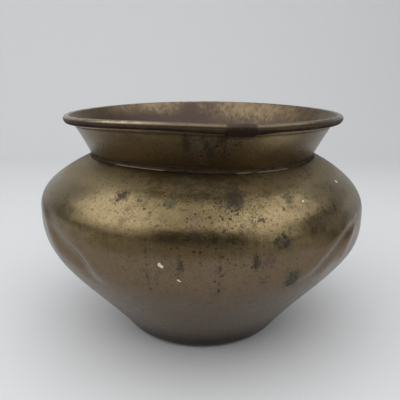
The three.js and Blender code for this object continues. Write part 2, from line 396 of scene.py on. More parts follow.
@dataclass(frozen=True)
class HandWork:
    """How far the beaten metal departs from a turned shape."""

    lines: CollarLines = CollarLines()
    neck_sag: float = 1.9 * MM
    neck_sag_spread: float = 80.0
    rim_sag_spread: float = 36.0
    rim_dip: float = 0.75 * MM
    rim_dip_reach: float = 70.0
    rim_saddle: float = 2.4 * MM
    shoulder_shift: float = -1.3 * MM
    collar_shift: float = 1.1 * MM
    hollows: tuple[Hollow, ...] = (
        Hollow(azimuth=-42.0, width=16.0, height=88 * MM, reach=36 * MM, depth=1.8 * MM),
        Hollow(azimuth=52.0, width=12.0, height=90 * MM, reach=30 * MM, depth=1.6 * MM),
        Hollow(azimuth=82.0, width=34.0, height=78 * MM, reach=34 * MM, depth=-3.2 * MM),
        Hollow(azimuth=-88.0, width=30.0, height=52 * MM, reach=40 * MM, depth=-1.2 * MM),
        Hollow(azimuth=2.0, width=15.0, height=119 * MM, reach=17 * MM, depth=0.4 * MM),
        Hollow(azimuth=23.0, width=16.0, height=117 * MM, reach=17 * MM, depth=-0.4 * MM),
        Hollow(azimuth=-46.0, width=9.0, height=143 * MM, reach=10 * MM, depth=0.40 * MM),
        Hollow(azimuth=-33.0, width=9.0, height=128 * MM, reach=8 * MM, depth=-0.30 * MM),
        Hollow(azimuth=-18.0, width=8.0, height=139 * MM, reach=9 * MM, depth=0.30 * MM),
        Hollow(azimuth=14.0, width=8.0, height=141 * MM, reach=9 * MM, depth=0.35 * MM),
        Hollow(azimuth=34.0, width=7.0, height=130 * MM, reach=8 * MM, depth=-0.30 * MM),
        Hollow(azimuth=45.0, width=9.0, height=140 * MM, reach=10 * MM, depth=0.35 * MM),
        Hollow(azimuth=-24.0, width=12.0, height=96 * MM, reach=14 * MM, depth=0.35 * MM),
        Hollow(azimuth=-6.0, width=10.0, height=84 * MM, reach=12 * MM, depth=-0.30 * MM),
        Hollow(azimuth=16.0, width=12.0, height=92 * MM, reach=12 * MM, depth=0.30 * MM),
        Hollow(azimuth=-12.0, width=16.0, height=60 * MM, reach=14 * MM, depth=0.35 * MM),
        Hollow(azimuth=22.0, width=14.0, height=62 * MM, reach=14 * MM, depth=-0.30 * MM),
    )
    creases: tuple[Crease, ...] = (
        Crease((-60.5, -53.5, -51.8), 120 * MM, 88 * MM, 5.0, -1.4 * MM),
        Crease((-50.5, -45.5, -40.5), 110 * MM, 90 * MM, 3.9, 1.5 * MM),
        Crease((-41.0, -38.9, -38.0), 100 * MM, 80 * MM, 3.9, 2.0 * MM),
        Crease((-37.0, -34.9, -33.8), 104 * MM, 84 * MM, 4.2, -1.3 * MM),
        Crease((47.0, 38.6, 33.2), 117 * MM, 88 * MM, 4.8, -1.8 * MM),
        Crease((52.0, 43.4, 37.5), 113 * MM, 88 * MM, 3.9, 2.3 * MM),
        Crease((54.0, 51.2, 51.8), 114 * MM, 86 * MM, 3.6, -2.0 * MM),
    )
    wave: float = 0.20 * MM
    wave_level: float = 1.6
    wave_slant: float = 60.0
    wave_turns: tuple[int, ...] = (2, 3, 5, 7, 9, 12, 15)
    wave_seed: int = 11

    def sag(self, azimuth: Number, height: Number) -> Number:
        """Give how far the metal hangs below its turned place."""
        body = self.lines.body
        up = np.clip((height - body.neck_height) / self.lines.collar_height, 0.0, 1.0)
        spread = self.neck_sag_spread + (self.rim_sag_spread - self.neck_sag_spread) * up
        size = self.neck_sag * smooth(height, body.belly_height, body.neck_height)
        near = wrapped(azimuth)
        aloft = smooth(height, body.neck_height, self.lines.rim_height)
        aside = self.rim_saddle * np.sin(np.radians(near)) ** 2
        aside = aside + self.rim_dip * hump(near, self.rim_dip_reach)
        return aside * aloft + size * np.sin(np.radians(2 * near)) * np.exp(-((near / spread) ** 2))

    def shift(self, height: Number) -> Number:
        """Give how far the metal stands towards +X of its turned place."""
        body = self.lines.body
        middle = body.belly_height + body.shoulder_height / 2
        aside = self.shoulder_shift * hump(height - middle, middle - body.belly_height)
        return aside + self.collar_shift * smooth(height, middle, self.lines.rim_height)

    def waves(self, azimuth: Number, height: Number) -> Number:
        """Give the slight unevenness of hand beating, as a sum of slow waves that close round the pot."""
        rng = np.random.default_rng(self.wave_seed)
        total = np.zeros_like(azimuth)
        for turns in self.wave_turns:
            rise, phase = rng.uniform(-self.wave_slant, self.wave_slant), rng.uniform(0.0, 2.0 * np.pi)
            total = total + np.sin(np.radians(turns * azimuth) + rise * height + phase) / turns**0.5
        return self.wave * (total + self.wave_level) * smooth(height, 0.0, self.lines.body.heel_radius)

    def inward(self, azimuth: Number, height: Number) -> Number:
        """Give how far inwards all the marks push the metal at a place."""
        marks = sum(mark.inward(azimuth, height) for mark in (*self.hollows, *self.creases))
        return marks + self.waves(azimuth, height)

    def place(self, radius: Number, height: Number, azimuth: Number) -> np.ndarray:
        """Put points of the turned shape where the beaten metal has them.

        Args:
            radius: their distances from the axis.
            height: their heights.
            azimuth: their azimuths.

        Returns:
            An array of x, y and z.
        """
        pushed = radius - self.inward(azimuth, height) * smooth(radius, 0.0, self.lines.body.base_radius)
        angle = np.radians(azimuth)
        x = pushed * np.sin(angle) + self.shift(height)
        return np.column_stack([x, -pushed * np.cos(angle), height - self.sag(azimuth, height)])


def linked(name: str, data: bpy.types.ID) -> bpy.types.Object:
    """Make an object of its data and put it in the scene."""
    thing = bpy.data.objects.new(name, data)
    bpy.context.scene.collection.objects.link(thing)
    return thing


def mesh_of(name: str, points: Sequence, faces: Sequence[tuple[int, ...]] = ()) -> bpy.types.Mesh:
    """Make a mesh of points, and of faces where there are any."""
    mesh = bpy.data.meshes.new(name)
    mesh.from_pydata(np.asarray(points).tolist(), [], faces)
    return mesh


def stitched(rings: int, count: int, joined: bool = False, closed: bool = True) -> list[tuple[int, ...]]:
    """Stitch rings of as many points each into a wall.

    Args:
        rings: how many rings there are.
        count: how many points a ring has.
        joined: whether the last ring is stitched to the first.
        closed: whether a ring's last point is stitched to its first.

    Returns:
        The faces, which point outwards where the rings turn counter-clockwise, seen along the way.
    """
    faces: list[tuple[int, ...]] = []
    for k in range(rings if joined else rings - 1):
        here, beyond = k * count, (k + 1) % rings * count
        for j in range(count if closed else count - 1):
            after = (j + 1) % count
            faces.append((here + j, beyond + j, beyond + after, here + after))
    return faces


@dataclass
class Sweep:
    """The points and faces of an outline that was swept round the axis."""

    points: np.ndarray
    faces: list[tuple[int, ...]]

    @classmethod
    def round(cls, work: HandWork, outlines: Sequence[Line]) -> "Sweep":
        """Sweep through outlines all the way round.

        Args:
            work: the hand work that places the points.
            outlines: closed outlines at even steps, or ones that start and end on the axis.

        Returns:
            The sweep.
        """
        steps = len(outlines)
        on_axis = outlines[0][0, 0] == 0.0
        rings = [outline[1:-1] for outline in outlines] if on_axis else list(outlines)
        count = len(rings[0])
        azimuths = np.arange(steps) * 360.0 / steps + work.lines.seam_azimuth
        points = cls._placed(work, rings, azimuths)
        faces = stitched(steps, count, joined=True, closed=not on_axis)
        if on_axis:
            poles = work.place(np.zeros(2), outlines[0][[0, -1], 1], np.zeros(2))
            points = np.vstack([points, poles])
            bottom, top = steps * count, steps * count + 1
            for k in range(steps):
                here, beyond = k * count, (k + 1) % steps * count
                faces.append((bottom, beyond, here))
                faces.append((top, here + count - 1, beyond + count - 1))
        return cls(points, faces)

    @classmethod
    def part(cls, work: HandWork, outlines: Sequence[Line], azimuths: Line) -> "Sweep":
        """Sweep through closed outlines of as many points each, with flat ends.

        Args:
            work: the hand work that places the points.
            outlines: the outlines, in order.
            azimuths: their azimuths.

        Returns:
            The sweep.
        """
        return cls.tube(cls._placed(work, outlines, azimuths), len(outlines[0]))

    @classmethod
    def tube(cls, points: np.ndarray, count: int) -> "Sweep":
        """Stitch rings of points and close both ends.

        Args:
            points: the rings' points, ring after ring.
            count: how many points a ring has.

        Returns:
            The tube.
        """
        rings = len(points) // count
        first = tuple(range(count))
        last = tuple((rings - 1) * count + j for j in reversed(first))
        return cls(points, stitched(rings, count) + [first, last])

    @staticmethod
    def _placed(work: HandWork, outlines: Sequence[Line], azimuths: Line) -> np.ndarray:
        """Give the worked places of all the outlines' points, outline after outline."""
        flat = np.vstack(outlines)
        return work.place(flat[:, 0], flat[:, 1], np.repeat(azimuths, len(outlines[0])))

    def __add__(self, other: "Sweep") -> "Sweep":
        """Put two sweeps together."""
        start = len(self.points)
        moved = [tuple(start + j for j in face) for face in other.faces]
        return Sweep(np.vstack([self.points, other.points]), self.faces + moved)

    def made(self, name: str) -> bpy.types.Object:
        """Make a linked object of the points and faces."""
        return linked(name, mesh_of(name, self.points, self.faces))


def settled(piece: bpy.types.Object) -> bpy.types.Object:
    """Turn a piece with its modifiers into a plain mesh."""
    graph = bpy.context.evaluated_depsgraph_get()
    mesh = bpy.data.meshes.new_from_object(piece.evaluated_get(graph))
    piece.modifiers.clear()
    piece.data = mesh
    return piece


def finished(
    piece: bpy.types.Object, material: bpy.types.Material, slot: Slot, *nodes: str
) -> bpy.types.Object:
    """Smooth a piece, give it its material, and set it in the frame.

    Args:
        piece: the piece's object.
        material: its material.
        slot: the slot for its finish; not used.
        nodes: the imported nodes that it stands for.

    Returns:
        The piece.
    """
    mesh = piece.data
    mesh.materials.clear()
    mesh.materials.append(material)
    mesh.shade_smooth()
    mesh.set_sharp_from_angle(angle=math.radians(SHARP_ANGLE))
    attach(piece, "root")
    if nodes:
        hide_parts(*nodes)
    log.info("%s: %d faces", piece.name, len(mesh.polygons))
    return piece


@dataclass(frozen=True)
class Spot:
    """A patch on the metal, strongest in its middle or on a ring at so many times its half size.

    The azimuth is in degrees, and the height and the half sizes are in millimetres.
    """

    azimuth: float
    height: float
    half_width: float
    half_height: float
    strength: float = 1.0
    ring: float = 0.0


@dataclass(frozen=True)
class Weathering:
    """Where the metal is polished and lightened as a painted highlight, pitted and stained, painted on its
    points as masks.
    """

    lines: CollarLines = CollarLines()
    grain_seed: int = 8
    grain_share: float = 0.6
    grain_size: float = 0.36
    grain_top: float = 150.0
    grain_fields: tuple[Spot, ...] = (Spot(5.0, 124.0, 60, 24, 0.05), Spot(8.0, 140.0, 46, 8, 0.1))
    lime: tuple[Spot, ...] = (
        Spot(-11.3, 104.9, 1.5, 1.1),
        Spot(-10.7, 103.6, 1.0, 1.2),
        Spot(-6.4, 93.9, 0.9, 0.8),
        Spot(-5.9, 93.1, 0.5, 0.6),
        Spot(60.2, 142.8, 1.0, 1.6),
        Spot(34.1, 139.2, 0.9, 0.8),
    )
    # Painted highlights on the shoulder's lobes and on the neck, lightening the metal along with its polish.
    polish_and_highlight: tuple[Spot, ...] = (
        Spot(-38.0, 134.0, 42, 16, 1.15),
        Spot(-58.0, 140.0, 44, 20, 1.3),
        Spot(-20.0, 130.0, 22, 9, 0.8),
        Spot(22.0, 133.0, 20, 12, 0.8),
        Spot(27.0, 125.0, 34, 8, 1.1),
        Spot(58.0, 142.0, 44, 20, 1.1),
        Spot(-44.0, 151.0, 44, 10, 1.3),
        Spot(33.0, 150.0, 40, 10, 1.3),
        Spot(0.0, 151.0, 40, 7, 0.7),
        Spot(-64.0, 132.0, 34, 14, 1.2),
        Spot(28.0, 180.0, 28, 8, 1.6),
        Spot(20.0, 171.0, 14, 5, 0.8),
        Spot(-24.0, 183.0, 30, 6, 0.7),
    )
    pitted: tuple[Spot, ...] = (
        Spot(-20.0, 136.0, 60, 26, 0.9),
        Spot(4.0, 134.0, 70, 34, 1.2),
        Spot(28.0, 137.0, 60, 26, 1.0),
        Spot(6.0, 102.0, 80, 34, 0.75),
        Spot(4.0, 176.0, 34, 14, 1.5),
    )
    dark: tuple[Spot, ...] = (
        Spot(10.6, 142.6, 7.5, 5.5, 1.2),
        Spot(5.5, 141.0, 6, 4, 0.75),
        Spot(8.0, 139.0, 12, 7, 0.55),
        Spot(-26.0, 143.6, 6, 3.6, 1.05),
        Spot(-20.0, 142.0, 4.5, 2.2, 0.8),
        Spot(-36.5, 142.0, 6, 4, 0.6),
        Spot(14.4, 105.7, 3.4, 8, 0.95),
        Spot(22.1, 117.8, 3.2, 2.8, 0.85, 1.3),
        Spot(-5.7, 105.9, 3.2, 8, 0.9),
        Spot(-1.5, 104.0, 6, 4, 0.65),
        Spot(4.0, 147.5, 4, 2, 0.7),
        Spot(11.5, 130.0, 4, 2.5, 0.75),
        Spot(17.0, 131.5, 4, 2.5, 0.9),
        Spot(13.5, 127.5, 3, 2, 0.75),
        Spot(-5.7, 178.5, 3.4, 8, 1.25),
        Spot(1.6, 177.0, 3.4, 3.6, 1.1),
        Spot(3.2, 171.5, 3, 5, 1.25),
        Spot(0.3, 182.0, 2, 1.6, 1.1),
        Spot(7.1, 180.6, 5, 4, 1.2),
        Spot(8.4, 174.0, 1.2, 10, 1.15),
        Spot(13.5, 178.0, 6, 6, 0.7),
        Spot(27.2, 88.0, 2.4, 3.4, 0.85, 1.3),
        Spot(-8.0, 156.5, 8, 3, 0.8),
        Spot(13.0, 155.5, 12, 3, 0.8),
    )
    green: tuple[Spot, ...] = (
        Spot(-6.7, 152.4, 4.5, 2.6, 1.3),
        Spot(-9.6, 140.7, 4.5, 2.4, 1.1),
        Spot(17.5, 90.9, 5, 7, 0.8),
        Spot(27.2, 88.7, 7, 9, 1.05),
        Spot(22.1, 118.5, 8, 7, 0.85),
        Spot(29.0, 141.0, 5, 3.4, 1.1),
        Spot(8.0, 141.0, 14, 8, 0.6),
        Spot(0.0, 178.0, 12, 12, 0.75),
        Spot(17.0, 136.0, 4.5, 3, 0.6),
        Spot(-2.0, 150.0, 5, 2.4, 0.6),
        Spot(14.0, 133.0, 4.5, 3, 0.6),
    )
    plum: tuple[Spot, ...] = (
        Spot(12.3, 190.0, 9, 7, 1.6),
        Spot(0.0, 192.0, 2000, 5, 0.85),
        Spot(-30.0, 180.0, 26, 6, 0.85),
        Spot(18.4, 106.0, 7, 9, 0.95),
        Spot(-3.0, 136.0, 9, 8, 0.7),
        Spot(-28.0, 140.0, 16, 8, 0.6),
        Spot(-14.0, 96.0, 34, 20, 0.5),
        Spot(-40.0, 92.0, 30, 26, 0.5),
    )
    # Painted highlights on the inside's back near the rim, with warm patina.
    warm_and_highlight: tuple[Spot, ...] = (
        Spot(-150.0, 191.0, 44, 8, 0.7),
        Spot(150.0, 189.0, 56, 12, 0.9),
        Spot(118.0, 182.0, 40, 30, 0.35),
    )
    cloudy: tuple[Spot, ...] = (
        Spot(180.0, 182.0, 110, 26, 1.0),
        Spot(-158.0, 176.0, 80, 13, 1.1),
        Spot(160.0, 174.0, 80, 13, 1.0),
    )

    @property
    def degree(self) -> float:
        """Give the length of one degree round the belly."""
        return self.lines.body.belly_radius * math.pi / 180.0

    def spread(self, spots: Sequence[Spot], azimuth: Number, height: Number) -> Number:
        """Give the greatest strength of any spot at each place, half of its full one at the spot's edge."""
        total = np.zeros_like(azimuth)
        for spot in spots:
            across = wrapped(azimuth - spot.azimuth) * self.degree / (spot.half_width * MM)
            up = (height - spot.height * MM) / (spot.half_height * MM)
            away = np.abs(np.hypot(across, up) - spot.ring)
            total = np.maximum(total, spot.strength * np.clip(1.0 - 0.5 * away, 0.0, 1.0))
        return total

    def grains(self) -> list[Spot]:
        """Scatter the crust's grains over the body's dark and green stains, and thinly over its front."""
        rng = np.random.default_rng(self.grain_seed)
        reach = self.degree / MM
        stains = [spot for spot in (*self.dark, *self.green) if spot.height < self.grain_top]
        found: list[Spot] = []
        for field in (*stains, *self.grain_fields):
            count = int(field.half_width * field.half_height * field.strength * self.grain_share) + 3
            for across, up, big in rng.uniform(-1.0, 1.0, (count, 3)):
                azimuth = field.azimuth + across * field.half_width / reach
                height = min(field.height + up * field.half_height, self.grain_top)
                size = self.grain_size * (1.0 + 0.6 * big)
                found.append(Spot(azimuth, height, size, size * rng.uniform(0.5, 1.0)))
        return found

    def paint(
        self, piece: bpy.types.Object, worn_and_glint: Optional[np.ndarray] = None, grime_and_shade: Optional[np.ndarray] = None
    ) -> bpy.types.Object:
        """Write the masks on a piece's points.

        Args:
            piece: the piece.
            worn_and_glint: how bare each point has been rubbed, with painted highlights along the rim's roll,
                turned edge and toe, or nothing where it is nowhere rubbed.
            grime_and_shade: how much dirt and painted shade lies on each point, or nothing where there is
                none.

        Returns:
            The piece.
        """
        count = len(piece.data.vertices)
        places, normals = np.empty(3 * count), np.empty(3 * count)
        piece.data.vertices.foreach_get("co", places)
        piece.data.vertex_normals.foreach_get("vector", normals)
        places, normals = places.reshape(-1, 3), normals.reshape(-1, 3)
        azimuth = np.degrees(np.arctan2(places[:, 0], -places[:, 1]))
        height = places[:, 2]
        outward = places - np.array([0.0, 0.0, self.lines.body.belly_height])
        outward /= np.linalg.norm(outward, axis=1)[:, None]
        values = {
            Mask.OUTSIDE: smooth((normals * outward).sum(axis=1), -0.1, 0.1),
            Mask.WORN_AND_GLINT: np.zeros(count) if worn_and_glint is None else worn_and_glint,
            Mask.GRIME_AND_SHADE: np.zeros(count) if grime_and_shade is None else grime_and_shade,
        }
        for mask in (Mask.WARM_AND_HIGHLIGHT, Mask.CLOUDY, Mask.POLISH_AND_HIGHLIGHT, Mask.PITTED, Mask.DARK, Mask.GREEN, Mask.PLUM):
            values[mask] = self.spread(getattr(self, mask.value), azimuth, height)
        for mask, value in values.items():
            layer = piece.data.attributes.new(mask.value, "FLOAT", "POINT")
            layer.data.foreach_set("value", value.astype(np.float32))
        return piece


Source = Union["Value", bpy.types.NodeSocket, float, Sequence[float]]


class Value:
    """A number that a material works out over the surface, used like a plain number."""

    def __init__(self, recipe: "Recipe", socket: bpy.types.NodeSocket) -> None:
        """Wrap a socket of a recipe's tree."""
        self.recipe = recipe
        self.socket = socket

    def _math(self, operation: str, first: Source, second: Source = 0.0) -> "Value":
        """Add a Math node on two values and wrap what it gives."""
        return Value(self.recipe, self.recipe.reckoned(operation, first, second))

    def __add__(self, other: Source) -> "Value":
        """Add."""
        return self._math("ADD", self, other)

    def __radd__(self, other: Source) -> "Value":
        """Add to what stands before."""
        return self._math("ADD", other, self)

    def __sub__(self, other: Source) -> "Value":
        """Subtract."""
        return self._math("SUBTRACT", self, other)

    def __rsub__(self, other: Source) -> "Value":
        """Subtract from what stands before."""
        return self._math("SUBTRACT", other, self)

    def __mul__(self, other: Source) -> "Value":
        """Multiply."""
        return self._math("MULTIPLY", self, other)

    def __rmul__(self, other: Source) -> "Value":
        """Multiply what stands before."""
        return self._math("MULTIPLY", other, self)

    def __truediv__(self, other: Source) -> "Value":
        """Divide."""
        return self._math("DIVIDE", self, other)

    def __abs__(self) -> "Value":
        """Drop the sign."""
        return self._math("ABSOLUTE", self)

    def most(self, other: Source) -> "Value":
        """Take the greater of this and another."""
        return self._math("MAXIMUM", self, other)

    def least(self, other: Source) -> "Value":
        """Take the lesser of this and another."""
        return self._math("MINIMUM", self, other)

    def eased(self, low: float, high: float) -> "Value":
        """Ease from 0 at one value to 1 at another, which may be the lesser."""
        settings = {"interpolation_type": "SMOOTHSTEP", "clamp": True}
        node = self.recipe.node("ShaderNodeMapRange", settings, {0: self, 1: low, 2: high, 3: 0.0, 4: 1.0})
        return Value(self.recipe, node.outputs[0])


class Graph:
    """Adds nodes to a node tree."""

    def __init__(self, tree: bpy.types.NodeTree) -> None:
        """Take the tree."""
        self.tree = tree

    def node(
        self, kind: str, settings: Optional[dict] = None, inputs: Optional[dict] = None
    ) -> bpy.types.Node:
        """Add a node.

        Args:
            kind: the node's type.
            settings: its own settings, which are set first.
            inputs: the values or links of its sockets, by name or number.

        Returns:
            The node.
        """
        node = self.tree.nodes.new(kind)
        for name, setting in (settings or {}).items():
            setattr(node, name, setting)
        for name, source in (inputs or {}).items():
            self.feed(node.inputs[name], source)
        return node

    def feed(self, socket: bpy.types.NodeSocket, source: Source) -> None:
        """Link a socket to a source, or set it to a plain value."""
        if isinstance(source, Value):
            self.tree.links.new(source.socket, socket)
        elif isinstance(source, bpy.types.NodeSocket):
            self.tree.links.new(source, socket)
        else:
            socket.default_value = source

    def reckoned(self, operation: str, first: Source, second: Source) -> bpy.types.NodeSocket:
        """Add a Math node and give what it works out."""
        return self.node("ShaderNodeMath", {"operation": operation}, {0: first, 1: second}).outputs[0]

    def vector(self, operation: str, inputs: dict) -> bpy.types.NodeSocket:
        """Add a Vector Math node and give what it works out."""
        return self.node("ShaderNodeVectorMath", {"operation": operation}, inputs).outputs[0]

    def shake(self, inputs: dict) -> bpy.types.NodeSocket:
        """Give noise that points every way, about zero."""
        noise = self.node("ShaderNodeTexNoise", None, inputs).outputs["Color"]
        return self.vector("SUBTRACT", {0: noise, 1: (0.5, 0.5, 0.5)})


class GeometryGraph(Graph):
    """A geometry nodes tree with named inputs."""

    def __init__(self, name: str) -> None:
        """Start a tree that takes a geometry and gives one."""
        super().__init__(bpy.data.node_groups.new(name, "GeometryNodeTree"))
        self.tree.interface.new_socket("Geometry", in_out="INPUT", socket_type="NodeSocketGeometry")
        self.tree.interface.new_socket("Geometry", in_out="OUTPUT", socket_type="NodeSocketGeometry")
        self.entry, self.leaving = self.node("NodeGroupInput"), self.node("NodeGroupOutput")
        self.place = self.node("GeometryNodeInputPosition").outputs[0]
        self.given: dict[str, float] = {}

    def number(self, name: str, value: float) -> bpy.types.NodeSocket:
        """Add a named input, with the value that it is run with."""
        socket = self.tree.interface.new_socket(name, in_out="INPUT", socket_type="NodeSocketFloat")
        self.given[socket.identifier] = value
        return self.entry.outputs[name]

    def attribute(self, name: str) -> bpy.types.NodeSocket:
        """Read a vector that the points carry."""
        node = self.node("GeometryNodeInputNamedAttribute", {"data_type": "FLOAT_VECTOR"}, {"Name": name})
        return node.outputs["Attribute"]

    def run(
        self, piece: bpy.types.Object, geometry: bpy.types.NodeSocket, material: bpy.types.Material
    ) -> bpy.types.Object:
        """End the tree with a geometry, run it on a piece, and keep what it gives as the piece's mesh.

        Args:
            piece: the piece that the tree takes.
            geometry: the geometry that the tree has worked out.
            material: its material.

        Returns:
            The piece.
        """
        realized = self.node("GeometryNodeRealizeInstances", None, {0: geometry})
        inputs = {"Geometry": realized.outputs[0], "Material": material}
        dressed = self.node("GeometryNodeSetMaterial", None, inputs)
        self.feed(self.leaving.inputs[0], dressed.outputs[0])
        modifier = piece.modifiers.new(self.tree.name, "NODES")
        modifier.node_group = self.tree
        for identifier, value in self.given.items():
            modifier[identifier] = value
        return settled(piece)


class Recipe(Graph):
    """Builds one material's node tree."""

    def __init__(self, name: str) -> None:
        """Start an empty tree with a principled surface."""
        self.material = bpy.data.materials.new(name)
        self.material.use_nodes = True
        super().__init__(self.material.node_tree)
        self.tree.nodes.clear()
        self.surface = self.node("ShaderNodeBsdfPrincipled")
        output = self.node("ShaderNodeOutputMaterial")
        self.feed(output.inputs[0], self.surface.outputs[0])
        self.places = self.node("ShaderNodeTexCoord").outputs["Object"]

    def mask(self, mask: Mask) -> Value:
        """Read a mask that is painted on the points."""
        node = self.node("ShaderNodeAttribute", {"attribute_name": mask.value})
        return Value(self, node.outputs["Fac"])

    def split(self, vector: Source) -> tuple[Value, Value, Value]:
        """Give a vector's three parts."""
        outputs = self.node("ShaderNodeSeparateXYZ", None, {0: vector}).outputs
        return Value(self, outputs[0]), Value(self, outputs[1]), Value(self, outputs[2])

    def joined(self, x: Source, y: Source, z: Source) -> bpy.types.NodeSocket:
        """Make a vector of three parts."""
        return self.node("ShaderNodeCombineXYZ", None, {0: x, 1: y, 2: z}).outputs[0]

    def moved(self, offset: Sequence[float]) -> bpy.types.NodeSocket:
        """Give the places on the object, moved."""
        return self.node("ShaderNodeMapping", None, {"Vector": self.places, "Location": offset}).outputs[0]

    def ragged(self, vector: Source, size: float, amount: float) -> bpy.types.NodeSocket:
        """Shake places by noise.

        Args:
            vector: the places.
            size: the size of the noise's features.
            amount: how far the places are moved, about.

        Returns:
            The shaken places.
        """
        shaken = self.shake({"Vector": vector, "Scale": 1.0 / size, "Detail": 2.0})
        return self.vector("MULTIPLY_ADD", {0: shaken, 1: (amount, amount, amount), 2: vector})

    def noise(
        self, size: float, detail: float = 4.0, rough: float = 0.55, vector: Optional[Source] = None
    ) -> Value:
        """Give soft noise.

        Args:
            size: the size of its features on the object.
            detail: how many finer layers it has.
            rough: how strong the finer layers are.
            vector: the places that it reads, if not the object's own.

        Returns:
            The noise, about 0 in the middle.
        """
        places = self.places if vector is None else vector
        inputs = {"Vector": places, "Scale": 1.0 / size, "Detail": detail, "Roughness": rough}
        return Value(self, self.node("ShaderNodeTexNoise", None, inputs).outputs[0]) - 0.5

    def cells(self, size: float, vector: Source) -> tuple[Value, Value]:
        """Give the distance to the nearest of some scattered points, and a number that each point has.

        Args:
            size: the mean distance between the points.
            vector: the places that it reads.

        Returns:
            The distance in units of the size, and the point's own number from 0 to 1.
        """
        node = self.node("ShaderNodeTexVoronoi", None, {"Vector": vector, "Scale": 1.0 / size})
        shade = self.node("ShaderNodeSeparateColor", None, {0: node.outputs["Color"]})
        return Value(self, node.outputs["Distance"]), Value(self, shade.outputs[0])

    def mixed(self, factor: Source, first: Source, second: Source) -> bpy.types.NodeSocket:
        """Mix two colours by a factor."""
        node = self.node("ShaderNodeMix", {"data_type": "RGBA", "clamp_factor": True})
        self.feed(node.inputs[0], factor)
        self.feed(node.inputs[6], first)
        self.feed(node.inputs[7], second)
        return node.outputs[2]

    def coated(self, colour: Source, *coats: tuple[Source, Colour]) -> Source:
        """Lay coats over a colour one after another, each as its own share of its own colour."""
        for share, coat in coats:
            colour = self.mixed(share, colour, coat)
        return colour

    def dressed(
        self, colour: Source, roughness: Source, metallic: Source, bumps: Sequence[tuple[Value, float]] = ()
    ) -> bpy.types.Material:
        """Finish the surface.

        Args:
            colour: its colour.
            roughness: its roughness.
            metallic: its metallic share.
            bumps: height fields with the distance that each stands for.

        Returns:
            The material.
        """
        self.feed(self.surface.inputs["Base Color"], colour)
        self.feed(self.surface.inputs["Roughness"], roughness)
        self.feed(self.surface.inputs["Metallic"], metallic)
        normal: Optional[bpy.types.NodeSocket] = None
        for height, distance in bumps:
            inputs = {"Strength": 1.0, "Distance": distance, "Height": height}
            node = self.node("ShaderNodeBump", None, inputs)
            if normal is not None:
                self.feed(node.inputs["Normal"], normal)
            normal = node.outputs[0]
        if normal is not None:
            self.feed(self.surface.inputs["Normal"], normal)
        return self.material


@dataclass(frozen=True)
class Ground:
    """The heights, sides and noises over the pot that its brass is worked out from."""

    height: Value
    outside: Value
    cloud: Value
    mottle: Value
    fleck: Value
    grain: Value
    streak: Value


